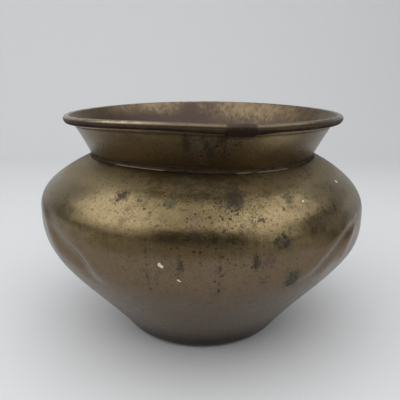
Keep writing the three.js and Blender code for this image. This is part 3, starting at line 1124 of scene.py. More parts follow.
@dataclass(frozen=True)
class AgedBrass:
    """Brass that has darkened unevenly, with pits, stains, drips and verdigris, and with painted highlights
    and painted shade.

    A zone is the height, in millimetres, where it starts and the one where it is full. A drip is an azimuth
    with its top and bottom heights, and a kind of pit is its spacing, its pattern's offset and its share.
    """

    name: str = "aged_brass"
    sand: Colour = (0.280, 0.217, 0.118, 1.0)
    olive: Colour = (0.135, 0.101, 0.047, 1.0)
    brown: Colour = (0.125, 0.086, 0.046, 1.0)
    umber: Colour = (0.082, 0.052, 0.032, 1.0)
    # Russet that darkens the belt under the shoulder's highlight as painted shade.
    russet_shade: Colour = (0.100, 0.068, 0.030, 1.0)
    earth: Colour = (0.168, 0.121, 0.080, 1.0)
    oxide: Colour = (0.026, 0.021, 0.018, 1.0)
    # Near-black that paints shade on the foot and under the collar's roll, and dirt on its lap.
    soot_and_shade: Colour = (0.020, 0.012, 0.008, 1.0)
    verdigris: Colour = (0.052, 0.066, 0.046, 1.0)
    plum: Colour = (0.080, 0.054, 0.052, 1.0)
    clouded: Colour = (0.072, 0.062, 0.050, 1.0)
    # Bare metal where rubbed, which also paints the highlight along the rim's roll and the toe's glints.
    bare: Colour = (0.50, 0.40, 0.28, 1.0)
    lining: Colour = (0.180, 0.133, 0.083, 1.0)
    # The lighter lining where the inside shows a painted highlight.
    warm_highlight_lining: Colour = (0.235, 0.176, 0.105, 1.0)
    clouded_lining: Colour = (0.062, 0.047, 0.042, 1.0)
    # The neck is darkened as painted shade.
    neck_shade_zone: Zone = (150.0, 158.0)
    # The dome is lightened as a painted highlight.
    dome_foot: Zone = (112.0, 126.0)
    dome_top: Zone = (166.0, 152.0)
    wall_zone: Zone = (117.0, 106.0)
    # The belt under the dome's highlight is darkened as painted shade.
    shade_belt_foot: Zone = (106.0, 115.0)
    shade_belt_top: Zone = (132.0, 122.0)
    # The foot is darkened as painted shade towards the base.
    base_shade_zone: Zone = (40.0, 8.0)
    corner_foot: Zone = (142.0, 150.0)
    corner_top: Zone = (158.0, 155.0)
    # The inside darkens as painted shade deeper down.
    deep_shade_zone: Zone = (110.0, 20.0)
    specular: float = 0.05
    relief: float = 0.28 * MM
    drips: tuple[tuple[float, float, float], ...] = (
        (-15.0, 124.0, 82.0),
        (-0.5, 124.0, 108.0),
        (4.8, 112.0, 80.0),
    )
    drip_fade: float = 4.0
    drip_edge: Zone = (0.62, 0.15)
    dot_width: float = 7.0
    dot_height: float = 3.4
    pit_shake: float = 1.5 * MM
    pit_shake_size: float = 1.1 * MM
    pit_kinds: tuple[tuple[float, float, float], ...] = (
        (1.6 * MM, 0.71, 0.42),
        (2.6 * MM, 0.0, 0.5),
        (4.6 * MM, 0.37, 0.42),
    )

    def made(self) -> bpy.types.Material:
        """Build the material."""
        recipe = Recipe(self.name)
        x, y, z = recipe.split(recipe.places)
        azimuth = Value(recipe, recipe.reckoned("ARCTAN2", x, 0.0 - y)) * (180.0 / math.pi)
        ground = Ground(
            height=z / MM,
            outside=recipe.mask(Mask.OUTSIDE),
            cloud=recipe.noise(60 * MM, 3.0),
            mottle=recipe.noise(15 * MM, 6.0, 0.62),
            fleck=recipe.noise(4.5 * MM, 4.0, 0.6),
            grain=recipe.noise(1.7 * MM, 3.0, 0.6),
            streak=recipe.noise(1.0, 4.0, 0.6, recipe.joined(x * 260.0, y * 260.0, z * 22.0)),
        )
        outside, mottle, fleck, grain = ground.outside, ground.mottle, ground.fleck, ground.grain
        # The foot darkened as painted shade, and made less metallic.
        base_shade = ground.height.eased(*self.base_shade_zone) * outside
        pitted = recipe.mask(Mask.PITTED)
        face = self._face(recipe, ground, base_shade, pitted)
        colour = recipe.mixed(outside, self._lining(recipe, ground), face)

        wobble = mottle * 0.7 + fleck * 0.9 + grain * 1.1
        dark = self._stain(recipe, Mask.DARK, wobble) * outside
        green = self._stain(recipe, Mask.GREEN, wobble) * outside
        plum = self._stain(recipe, Mask.PLUM, wobble) * outside
        drip = self._drips(recipe, azimuth, ground) * outside
        pits = self._pits(recipe, pitted * outside)
        # The collar's dirt, with painted shade under its roll, turned edge, foot and toe.
        grime_and_shade = recipe.mask(Mask.GRIME_AND_SHADE) * (0.9 + fleck * 0.5 + mottle * 0.6)
        # The collar's wear, with painted highlights on its roll, turned edge and toe.
        worn_and_glint = recipe.mask(Mask.WORN_AND_GLINT) * (0.62 + fleck * 1.4 + mottle * 0.8)
        worn_and_glint = worn_and_glint.most(0.0).least(1.0)
        colour = recipe.coated(
            colour,
            (plum * 0.55, self.plum),
            (green * 0.6, self.verdigris),
            (dark * 0.7, self.oxide),
            (drip, self.oxide),
            (pits, self.oxide),
            (grime_and_shade * 0.95, self.soot_and_shade),
            (worn_and_glint * 0.9, self.bare),
        )

        stained = green.most(dark).most(drip).most(pits)
        rough = 0.305 + mottle * 0.16 + fleck * 0.14 + grain * 0.18 + stained * 0.12
        rough = rough + (1.0 - outside) * 0.12 - worn_and_glint * 0.06 + grime_and_shade * 0.3
        corner = ground.height.eased(*self.corner_foot) * ground.height.eased(*self.corner_top)
        rough = rough + corner * outside * 0.2
        metal = 1.0 - (green * 0.3 + base_shade * 0.6).most(grime_and_shade.eased(0.45, 0.85))
        recipe.feed(recipe.surface.inputs["Specular IOR Level"], self.specular)
        bumps = mottle * 0.7 + fleck * 0.4 + grain * 0.22 - pits * 0.35
        return recipe.dressed(colour, rough, metal, [(bumps, self.relief)])

    def _face(self, recipe: Recipe, ground: Ground, base_shade: Value, pitted: Value) -> Source:
        """Give the outside's colour under its stains: a dome lightened as a painted highlight, a neck and a
        belt darkened as painted shade, an earthy wall and a foot darkened as painted shade.

        Args:
            recipe: the material's recipe.
            ground: the heights and noises.
            base_shade: how much the foot is darkened as painted shade.
            pitted: how pitted the metal is.

        Returns:
            The colour.
        """
        height, cloud, mottle, fleck = ground.height, ground.cloud, ground.mottle, ground.fleck
        grain, streak = ground.grain, ground.streak
        # The neck darkened as painted shade, with a duller brown.
        neck = height.eased(*self.neck_shade_zone)
        # The dome and the shine spots lighten the metal as painted highlights, along with its polish.
        highlight_dome = height.eased(*self.dome_foot) * height.eased(*self.dome_top)
        polish_and_highlight = recipe.mask(Mask.POLISH_AND_HIGHLIGHT)
        lustre_and_highlight = polish_and_highlight * 0.95 + highlight_dome * 0.16 + cloud * 0.8 + mottle * 1.4 + fleck * 1.5 + grain * 1.3
        lustre_and_highlight = (lustre_and_highlight - neck * 0.25).eased(0.0, 0.95)
        dull_and_shade = mottle * 1.6 - cloud * 1.6 + fleck + neck * 0.55 + 0.35
        dull_and_shade = (dull_and_shade - polish_and_highlight * 0.5 - highlight_dome * 0.25).eased(0.0, 1.0)
        patchy = mottle * 1.1 + fleck * 0.8 + cloud * 0.6
        # The belt under the highlight darkened as painted shade, with a redder tone.
        shade_belt = height.eased(*self.shade_belt_foot) * height.eased(*self.shade_belt_top)
        tarnish = (mottle + fleck * 0.5).eased(0.08, 0.26)
        sandy = recipe.noise(0.95 * MM, 2.0, 0.6)
        speckle = (sandy + grain * 0.8).eased(0.02, 0.22) * (0.10 + pitted * 0.5)
        blotch = recipe.noise(6.5 * MM, 4.0, 0.7, recipe.moved((0.7, 0.2, 0.4)))
        blotch = (blotch + grain * 0.5).eased(0.04, 0.18) * pitted
        return recipe.coated(
            recipe.mixed(lustre_and_highlight, self.olive, self.sand),
            (dull_and_shade * 0.85, self.brown),
            (height.eased(*self.wall_zone) * (0.8 + patchy), self.earth),
            (shade_belt * (0.7 - patchy * 0.6), self.russet_shade),
            (streak.eased(0.0, 0.25) * (0.2 - highlight_dome * 0.12), self.umber),
            (base_shade * 0.92, self.soot_and_shade),
            (tarnish * 0.3, self.umber),
            (speckle, self.umber),
            (blotch * 0.6, self.clouded),
        )

    def _lining(self, recipe: Recipe, ground: Ground) -> Source:
        """Give the colour of the inside, blotched, rubbed and marked by water, lighter near the rim's back as
        a painted highlight and darker deeper down as painted shade.
        """
        fleck, streak = ground.fleck, ground.streak
        blot = recipe.noise(24 * MM, 5.0, 0.6, recipe.moved((0.3, 0.1, 0.2)))
        patchy = blot * 1.6 + fleck * 0.8 + streak * 0.8
        # Warm patina with painted highlights near the rim's back.
        warm_and_highlight = (recipe.mask(Mask.WARM_AND_HIGHLIGHT) * (1.0 + patchy) + patchy * 0.35).eased(0.05, 0.85)
        rubbed_and_highlight = (streak + fleck) * (warm_and_highlight + 0.3)
        mark = streak * 1.8 - blot * 2.4 + ground.mottle
        cloudy = (recipe.mask(Mask.CLOUDY) * 1.15 + patchy * 0.4 + mark * 0.15).eased(0.1, 1.0)
        return recipe.coated(
            recipe.mixed(warm_and_highlight, self.lining, self.warm_highlight_lining),
            (rubbed_and_highlight.eased(0.03, 0.2) * 0.5, self.sand),
            (mark.eased(0.0, 0.9) * 0.4, self.clouded_lining),
            (cloudy * (1.0 - warm_and_highlight * 0.7) * 0.92, self.clouded_lining),
            ((0.02 - streak - fleck).eased(0.0, 0.2) * 0.45, self.umber),
            # Painted shade deeper inside the hollow.
            (ground.height.eased(*self.deep_shade_zone) * 0.4, self.umber),
        )

    @staticmethod
    def _stain(recipe: Recipe, mask: Mask, wobble: Value) -> Value:
        """Give a mask's stains with ragged edges."""
        painted = recipe.mask(mask)
        return (painted + wobble * painted.eased(0.0, 0.25)).eased(0.42, 0.92)

    def _pits(self, recipe: Recipe, pitted: Value) -> Value:
        """Scatter small dark pits of each kind, thickest where the metal is pitted."""
        total: Optional[Value] = None
        for size, offset, share in self.pit_kinds:
            places = recipe.moved((offset, offset, 0.0))
            places = recipe.ragged(places, self.pit_shake_size, self.pit_shake)
            near, own = recipe.cells(size, places)
            chosen = (pitted * share + 0.012 - own).eased(0.0, 0.04)
            spot = (near - 0.06 - own * 0.36).eased(0.12, 0.0) * chosen * (0.45 + own)
            total = spot if total is None else total.most(spot)
        return total.least(0.8)

    def _drips(self, recipe: Recipe, azimuth: Value, ground: Ground) -> Value:
        """Draw the dotted upright lines where something once ran down and bit."""
        height = ground.height
        total: Optional[Value] = None
        for where, top, bottom in self.drips:
            off = abs(azimuth - where + ground.fleck * 1.2)
            foot = height.eased(bottom - self.drip_fade, bottom + self.drip_fade)
            head = height.eased(top + self.drip_fade, top - self.drip_fade)
            line = off.eased(*self.drip_edge) * (foot * head)
            total = line if total is None else total.most(line)
        spread = recipe.joined(azimuth / self.dot_width, 0.0, height / self.dot_height)
        dots = recipe.noise(1.0, 2.0, 0.6, spread).eased(0.0, 0.16)
        return total * (dots * 0.75 + 0.10)


@dataclass(frozen=True)
class DarkIron:
    """Drawn iron wire, dark and lightly rusted."""

    name: str = "dark_iron"
    bare: Colour = (0.09, 0.08, 0.075, 1.0)
    rust: Colour = (0.12, 0.05, 0.025, 1.0)

    def made(self) -> bpy.types.Material:
        """Build the material."""
        recipe = Recipe(self.name)
        patch = recipe.noise(6 * MM, 5.0).eased(-0.05, 0.15)
        grain = recipe.noise(0.8 * MM, 3.0)
        colour = recipe.mixed(patch, self.bare, self.rust)
        return recipe.dressed(colour, 0.5 + patch * 0.3, 0.9 - patch * 0.6, [(grain, 0.1 * MM)])


@dataclass(frozen=True)
class CastSpelter:
    """Brazing spelter, rough and yellower than the sheet."""

    name: str = "cast_spelter"
    bright: Colour = (0.40, 0.31, 0.15, 1.0)
    burnt: Colour = (0.08, 0.055, 0.03, 1.0)

    def made(self) -> bpy.types.Material:
        """Build the material."""
        recipe = Recipe(self.name)
        patch = recipe.noise(5 * MM, 5.0).eased(-0.1, 0.15)
        grain = recipe.noise(1.2 * MM, 4.0)
        colour = recipe.mixed(patch, self.bright, self.burnt)
        return recipe.dressed(colour, 0.42 + patch * 0.2, 1.0, [(grain, 0.3 * MM)])


@dataclass(frozen=True)
class Crust:
    """What has dried or grown on the metal, dull and mottled from one colour to another."""

    name: str
    first: Colour
    second: Colour

    def made(self) -> bpy.types.Material:
        """Build the material."""
        recipe = Recipe(self.name)
        patch = recipe.noise(7 * MM, 4.0, 0.6).eased(-0.08, 0.1)
        grain = recipe.noise(0.6 * MM, 3.0)
        colour = recipe.mixed(patch, self.first, self.second)
        return recipe.dressed(colour, 0.85 + grain * 0.1, 0.0, [(grain, 0.08 * MM)])


@dataclass
class Planishing:
    """The flats that the planishing hammer left, pressed into a piece by geometry nodes."""

    material: bpy.types.Material
    spacing: float = 12 * MM
    depth: float = 0.10 * MM
    smoothness: float = 0.35

    def press(self, piece: bpy.types.Object) -> bpy.types.Object:
        """Press the flats into a piece, inwards from its place, and make it a plain mesh."""
        graph = GeometryGraph("planishing")
        spacing, depth = graph.number("Spacing", self.spacing), graph.number("Depth", self.depth)
        inputs = {"Vector": graph.place, "Scale": graph.reckoned("DIVIDE", 1.0, spacing)}
        inputs["Smoothness"] = self.smoothness
        cells = graph.node("ShaderNodeTexVoronoi", {"feature": "SMOOTH_F1"}, inputs).outputs["Distance"]
        amount = graph.reckoned("MULTIPLY", cells, depth)
        level = graph.vector("MULTIPLY", {0: graph.place, 1: (-1.0, -1.0, 0.0)})
        offset = graph.vector("SCALE", {0: graph.vector("NORMALIZE", {0: level}), "Scale": amount})
        inputs = {"Geometry": graph.entry.outputs["Geometry"], "Offset": offset}
        pressed = graph.node("GeometryNodeSetPosition", None, inputs).outputs[0]
        return graph.run(piece, pressed, self.material)


@dataclass
class Specks:
    """Small hard lumps that stick to the body, set on points by geometry nodes."""

    work: HandWork
    name: str
    material: bpy.types.Material
    skin: float = 0.15 * MM
    thickness: float = 0.13 * MM
    lumpiness: float = 0.5
    lump_scale: float = 1.3
    facets: int = 1
    seed: int = 4

    def seats(self, spots: Sequence[Spot]) -> bpy.types.Object:
        """Make bare points on the body's face, each with the way out of the metal and a size."""
        rows = [(spot.azimuth, spot.height, spot.half_width, spot.half_height) for spot in spots]
        azimuth = np.array(rows)[:, 0]
        height, width, length = np.array(rows)[:, 1:].T * MM
        radius, lean = self.work.lines.body.outer(height)
        points = self.work.place(radius - self.skin, height, azimuth)
        angle = np.radians(azimuth)
        outward = np.column_stack([np.sin(angle), -np.cos(angle), -lean])
        outward /= np.linalg.norm(outward, axis=1)[:, None]
        size = np.column_stack([width, length, np.full_like(width, self.thickness)])
        mesh = mesh_of(self.name, points)
        for name, values in (("outward", outward), ("size", size)):
            layer = mesh.attributes.new(name, "FLOAT_VECTOR", "POINT")
            layer.data.foreach_set("vector", values.astype(np.float32).ravel())
        return linked(self.name, mesh)

    def made(self, spots: Sequence[Spot]) -> bpy.types.Object:
        """Set an uneven lump on each spot."""
        graph = GeometryGraph(self.name)
        seed, lumpiness = graph.number("Seed", self.seed), graph.number("Lumpiness", self.lumpiness)
        ball = graph.node("GeometryNodeMeshIcoSphere", None, {"Radius": 1.0, "Subdivisions": self.facets})
        centred = graph.shake({"Vector": graph.place, "Scale": self.lump_scale})
        offset = graph.vector("SCALE", {0: centred, "Scale": lumpiness})
        lump = graph.node("GeometryNodeSetPosition", None, {"Geometry": ball.outputs[0], "Offset": offset})
        inputs = {"Vector": graph.attribute("outward")}
        upright = graph.node("FunctionNodeAlignRotationToVector", {"axis": "Z"}, inputs)
        inputs = {2: 0.0, 3: 2.0 * math.pi, "Seed": seed}
        spin = graph.node("FunctionNodeRandomValue", {"data_type": "FLOAT"}, inputs).outputs[1]
        turn = graph.node("FunctionNodeAxisAngleToRotation", None, {"Axis": (0.0, 0.0, 1.0), "Angle": spin})
        inputs = {"Rotation": upright.outputs[0], "Rotate By": turn.outputs[0]}
        turned = graph.node("FunctionNodeRotateRotation", {"rotation_space": "LOCAL"}, inputs)
        inputs = {
            "Points": graph.entry.outputs["Geometry"],
            "Instance": lump.outputs[0],
            "Rotation": turned.outputs[0],
            "Scale": graph.attribute("size"),
        }
        lumps = graph.node("GeometryNodeInstanceOnPoints", None, inputs).outputs[0]
        piece = graph.run(self.seats(spots), lumps, self.material)
        return finished(piece, self.material, Slot.BRASS)


@dataclass
class Body:
    """The bowl and the shoulder, which meet flush at the belly."""

    work: HandWork
    weathering: Weathering
    material: bpy.types.Material
    steps: int = 600
    skin: float = 0.15 * MM
    joint: float = 0.02 * MM
    base_steps: int = 10
    heel_steps: int = 12
    wall_steps: int = 62
    shoulder_steps: int = 52
    closing: float = 1.4
    lip_points: int = 6

    def bowl(self) -> bpy.types.Object:
        """Make the bowl, with the lip that stands up inside the shoulder."""
        body = self.work.lines.body
        across = np.linspace(0.0, body.base_radius, self.base_steps + 1)
        flat = np.column_stack([across, np.zeros_like(across)])
        wall = body.wall()
        closer = 1.0 - np.linspace(1.0, 0.0, self.wall_steps + 1) ** self.closing
        rise = wall.at(wall.length * closer)
        rise[-1] += (self.skin - self.joint) * heading(90.0)
        over = body.shoulder().at(np.linspace(0.0, body.belly_lap, self.lip_points))
        lip = beside(over, np.full(self.lip_points, body.sheet + body.clearance))
        ledge = np.array([[lip[0, 0], rise[-1, 1]]])
        line = np.vstack([flat[:-1], body.heel(self.heel_steps), rise[1:], ledge, lip[1:]])
        skin = self.skin * smooth(line[:, 1], 0.0, body.heel_radius)
        outline = sheet_outline(line, skin, np.full(len(line), body.sheet), thin=2)
        return self._beaten(outline, "bowl_skin", "lower_bowl")

    def shoulder(self) -> bpy.types.Object:
        """Make the shoulder, with the lip that stands up inside the collar."""
        lines, body = self.work.lines, self.work.lines.body
        curve = body.shoulder()
        end = curve.length - lines.bend_reach - lines.toe
        rise = curve.at(end * np.linspace(0.0, 1.0, self.shoulder_steps + 1) ** self.closing)
        upright = lines.wall().at(np.linspace(0.0, body.neck_lap, self.lip_points))
        foot = np.vstack([lines.toe_tip, lines.bend, upright[1:]])
        lip = beside(foot, np.full(len(foot), body.clearance))[1:]
        line = np.vstack([rise, lip])
        skin, sheet = np.full(len(line), self.skin), np.full(len(line), body.sheet)
        outline = sheet_outline(line, skin, sheet, rounding=self.joint, thin=2)
        return self._beaten(outline, "shoulder_skin", "shoulder")

    def _beaten(self, outline: Line, name: str, node: str) -> bpy.types.Object:
        """Sweep an outline round, press the hammer's flats into it, and paint it.

        Args:
            outline: the sheet's outline.
            name: the new piece's name.
            node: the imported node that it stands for.

        Returns:
            The piece.
        """
        piece = Sweep.round(self.work, [outline] * self.steps).made(name)
        Planishing(self.material).press(piece)
        self.weathering.paint(piece)
        return finished(piece, self.material, Slot.BRASS, node)


@dataclass
class Collar:
    """The collar strip with its hidden tongue, proud outer leaf and rolled rim.

    The step and the lap's ends are azimuths in degrees, and the tongue stops so many radii of the roll below
    it. Each row of the toe's wear and painted glint is the azimuth where it starts, the one where it ends,
    and how bare and bright it is.
    Angles round the roll are above level, seen from its middle with the outside to the right.
    """

    work: HandWork
    weathering: Weathering
    material: bpy.types.Material
    skin: float = 0.15 * MM
    seam_gap: float = 0.004
    step: float = 0.6
    wall_steps: int = 26
    roll_steps: int = 22
    crease_steps: int = 5
    edge_steps: int = 3
    softened: int = 2 * CORNER_POINTS
    cut_rounding: float = 0.15 * MM
    tongue_points: int = 20
    tongue_steps: int = 25
    tongue_stop: float = 3.5
    tongue_lift: float = 0.03 * MM
    proud_ease: float = 6.0
    lap_start: Zone = (7.0, 7.5)
    lap_end: Zone = (16.8, 17.4)
    top_start: Zone = (14.0, 34.0)
    top_end: Zone = (112.0, 138.0)
    face_end: Zone = (70.0, 100.0)
    under_thins: Zone = (-35.0, -5.0)
    under_end: Zone = (8.0, 28.0)
    # The roll's top is lightened as a painted highlight along with its wear, strongest to the left.
    roll_wear_and_glint: float = 0.2
    left_wear_and_glint: float = 1.0
    left_zone: Zone = (8.0, 30.0)
    right_wear_and_glint: float = 0.6
    right_zone: Zone = (20.0, 46.0)
    lap_spared: float = 0.3
    face_dirt: float = 0.2
    lap_dirt: float = 0.35
    # The first steps of the wall above the foot are darkened as painted shade.
    neck_foot_shade: tuple[float, float, float] = (0.6, 0.3, 0.1)
    # The turned edge's top is lightened as a painted highlight.
    edge_wear_and_glint: float = 0.35
    rubbed_clean: float = 0.9
    toe_thickness: float = 0.4 * MM
    toe_drop: float = 0.26 * MM
    # The toe's bright glints are painted highlights along with its wear.
    toe_wear_and_glint_spans: tuple[tuple[float, float, float], ...] = (
        (-40.0, -17.0, 0.9),
        (15.5, 19.5, 0.8),
        (25.0, 39.0, 0.7),
    )
    toe_least: float = 0.02
    toe_ease: float = 2.0
    side_hang: float = 1.6 * MM
    end_hang: float = 1.5 * MM
    end_reach: float = 22.0
    turned_edge: float = 2.8 * MM
    edge_halving: float = 2.0 * MM
    edge_fall: float = 5.0 * MM
    # Width of the painted shade on the wall under the turned edge.
    edge_shade_width: float = 1.2 * MM
    step_azimuth: float = 9.3
    step_share: float = 0.4
    step_rise: float = 11.0

    def roll_drop(self, azimuth: float) -> float:
        """Give how far the roll's underside hangs below its place, at an azimuth past the seam."""
        lines = self.work.lines
        stepped = 1.0 - float(smooth(azimuth, self.step_azimuth, self.step_azimuth + self.step))
        rising = 1.0 - float(smooth(azimuth, self.step_azimuth, self.step_azimuth + self.step_rise))
        lap = self.step_share * stepped + (1.0 - self.step_share) * rising
        ending = float(smooth(azimuth, 360.0 - self.end_reach, 360.0 - self.seam_gap))
        aside = math.sin(math.radians(azimuth + lines.seam_azimuth)) ** 2
        return lines.wire_step * lap + self.side_hang * aside * (1.0 - lap) + self.end_hang * ending

    def proud(self, azimuth: float) -> float:
        """Give how far the outer leaf stands off the collar's face, at an azimuth past the seam."""
        lines = self.work.lines
        return lines.seam_proud * (1.0 - float(smooth(azimuth, 1.0, lines.seam_lap + self.proud_ease)))

    def outline(self, azimuth: float) -> Line:
        """Draw the collar's section at an azimuth past the seam."""
        lines, body = self.work.lines, self.work.lines.body
        wall = lines.wall()
        edge_station = wall.length - 2.0 * lines.roll_radius
        up_edge = wall.tangent(edge_station)
        out_edge = np.array([up_edge[1], -up_edge[0]])
        stand_off = float((lines.roll_centre - wall.at(edge_station)[0]) @ out_edge) - body.sheet
        inset = stand_off - body.clearance - body.sheet - lines.crease_radius
        fall = math.sqrt((lines.roll_radius + lines.crease_radius) ** 2 - inset**2)
        centre = lines.roll_centre - inset * out_edge - fall * up_edge
        tuck = angle_of(centre - lines.roll_centre)
        roll = arc(lines.roll_centre, lines.roll_radius, 180.0 - lines.rim_flare, tuck, self.roll_steps)
        crease = arc(centre, lines.crease_radius, tuck + 180.0, angle_of(out_edge) + 180.0, self.crease_steps)
        drop = self.roll_drop(azimuth)
        bead = np.vstack([roll, crease[1:]])
        below = (bead - lines.roll_centre) @ up_edge < 0.0
        bead = bead - np.outer(below * drop, up_edge)
        lengths = np.linspace(0.0, self.edge_length(drop), self.edge_steps + 1)[1:]
        edge = bead[-1] - np.outer(lengths, up_edge)
        reach = float((lines.roll_start - centre) @ up_edge) + lines.wire_step + self.turned_edge
        stations = np.linspace(0.0, wall.length, self.wall_steps + 1)[1:-1]
        leaf = np.vstack([lines.toe_tip, lines.bend, wall.at(stations)])
        flush = wall.length - reach
        foot = len(lines.bend) + 1
        share = 1.0 - smooth(np.append(np.zeros(foot), stations), flush - lines.seam_ease, flush)
        leaf = leaf + np.outer(share * self.proud(azimuth), heading(-lines.neck_lean))
        leaf[0] = leaf[0] + self.toe_drop * heading(270.0 - body.shoulder_angle)
        line = np.vstack([leaf, bead, edge])
        thickness = np.full(len(line), body.sheet)
        thickness[:foot] = np.linspace(self.toe_thickness, body.sheet, foot)
        return sheet_outline(line, -thickness, np.full(len(line), -self.skin), rounding=self.cut_rounding)

    def tongue(self) -> Sweep:
        """Make the strip's end that runs on behind its start, on the mouth side."""
        lines, body = self.work.lines, self.work.lines.body
        wall = lines.wall()
        start = body.over_braze(body.neck_lap)
        stop = wall.length - self.tongue_stop * lines.roll_radius
        line = wall.at(np.linspace(start, stop, self.tongue_points))
        near, far = np.full(len(line), self.tongue_lift), np.full(len(line), body.sheet)
        outline = sheet_outline(line, near, far)
        azimuths = np.linspace(-lines.seam_tail, lines.seam_lap, self.tongue_steps + 1)
        return Sweep.part(self.work, [outline] * len(azimuths), azimuths + lines.seam_azimuth)

    def made(self) -> bpy.types.Object:
        """Make the collar."""
        lines = self.work.lines
        azimuths = np.append(np.arange(0.0, 360.0 - self.seam_gap - 0.1, self.step), 360.0 - self.seam_gap)
        outlines = [self.outline(azimuth) for azimuth in azimuths]
        strip = Sweep.part(self.work, outlines, azimuths + lines.seam_azimuth)
        piece = (strip + self.tongue()).made("collar_skin")
        worn_and_glint, grime_and_shade = np.zeros((2, len(piece.data.vertices)))
        here = wrapped(azimuths + lines.seam_azimuth)
        strip_points = slice(0, len(azimuths) * len(outlines[0]))
        rolled, face, below, toe = self.section_shares(self.outline(180.0 - lines.seam_azimuth))
        lapped = smooth(here, *self.lap_start) * (1.0 - smooth(here, *self.lap_end))
        # Wear with painted highlights on the roll's top and on the toe.
        rubbed_and_highlight = np.outer(self.roll_wear_and_highlight(here, lapped), rolled)
        rubbed_and_highlight = rubbed_and_highlight + np.outer(self.toe_wear_and_highlight(here), toe)
        worn_and_glint[strip_points] = rubbed_and_highlight.ravel()
        # Painted shade under the roll, in its crease, on the foot and the toe and under the turned edge, with
        # real dirt on the face and the lap.
        dirt_and_shade = np.outer(np.ones_like(here), below + toe)
        dirt_and_shade = dirt_and_shade + np.outer(self.face_dirt + lapped * self.lap_dirt, face)
        wall = slice(len(lines.bend), len(lines.bend) + self.wall_steps - 1)
        dirt_and_shade[:, wall] += [self.shade_under_edge(azimuth) for azimuth in azimuths]
        grime_and_shade[strip_points] = (dirt_and_shade * (1.0 - self.rubbed_clean * np.minimum(rubbed_and_highlight, 1.0))).ravel()
        self.weathering.paint(piece, worn_and_glint, grime_and_shade)
        return finished(piece, self.material, Slot.BRASS, "neck_collar")

    def shade_under_edge(self, azimuth: float) -> Line:
        """Give the painted shade on each step of the wall under the turned edge, at an azimuth past the seam.
        """
        lines = self.work.lines
        drop = self.roll_drop(azimuth)
        end = lines.wall().length - self.edge_fall - drop - self.edge_length(drop)
        stations = np.linspace(0.0, lines.wall().length, self.wall_steps + 1)[1:-1]
        return np.exp(-(((stations - end) / self.edge_shade_width) ** 2))

    def edge_length(self, drop: float) -> float:
        """Give the length of the turned edge where the roll's underside hangs this much lower."""
        return self.turned_edge / (1.0 + drop / self.edge_halving)

    def section_shares(self, section: Line) -> tuple[Line, Line, Line, Line]:
        """Give how far a section's points lie on the parts that wear, gather dirt, take a painted highlight
        and take painted shade.

        Args:
            section: the collar's section away from its seam.

        Returns:
            The shares of the roll's top, worn and painted with a highlight; of its face; of the undersides
            and the foot, painted with shade; and of the toe, with painted glints and painted shade.
        """
        lines = self.work.lines
        off = section - lines.roll_centre
        on_roll = np.abs(np.hypot(off[:, 0], off[:, 1]) - lines.roll_radius + self.skin) < self.skin / 2
        angles = np.degrees(np.arctan2(off[:, 1], off[:, 0]))
        # The roll's top takes wear and a painted highlight.
        top = on_roll * smooth(angles, *self.top_start) * (1.0 - smooth(angles, *self.top_end))
        # The roll's underside is darkened as painted shade.
        under = 1.0 - 0.5 * smooth(angles, *self.under_thins) - 0.5 * smooth(angles, *self.under_end)
        under = on_roll * under
        face = on_roll * (1.0 - smooth(angles, *self.face_end))
        foot = len(lines.bend)
        crease = len(section) - self.softened - foot - self.wall_steps - self.roll_steps
        edge = crease - self.crease_steps
        # The crease under the roll is darkened as painted shade.
        under[edge:crease] = 1.0
        top[edge - self.edge_steps : edge] = self.edge_wear_and_glint
        face[edge - self.edge_steps : crease] = 1.0
        toe = np.zeros(len(section))
        toe[-self.softened :] = 1.0
        # The foot's bend and the steps above it are darkened as painted shade.
        under[:foot] = 1.0
        under[foot : foot + len(self.neck_foot_shade)] = self.neck_foot_shade
        return top, face, under, toe

    def roll_wear_and_highlight(self, here: Line, lapped: Line) -> Line:
        """Give how bare the roll's top has been rubbed and how bright its painted highlight is at each
        azimuth, with less on the lap.
        """
        rubbed_and_highlight = self.roll_wear_and_glint + self.left_wear_and_glint * smooth(-here, *self.left_zone)
        return rubbed_and_highlight + self.right_wear_and_glint * smooth(here, *self.right_zone) - self.lap_spared * lapped

    def toe_wear_and_highlight(self, azimuth: Line) -> Line:
        """Give how bare the toe has been rubbed and how bright its painted glint is at each azimuth."""
        total = np.full_like(azimuth, self.toe_least)
        for start, end, strength in self.toe_wear_and_glint_spans:
            rising = smooth(azimuth, start - self.toe_ease, start)
            falling = smooth(azimuth, end, end + self.toe_ease)
            total = np.maximum(total, strength * rising * (1 - falling))
        return total


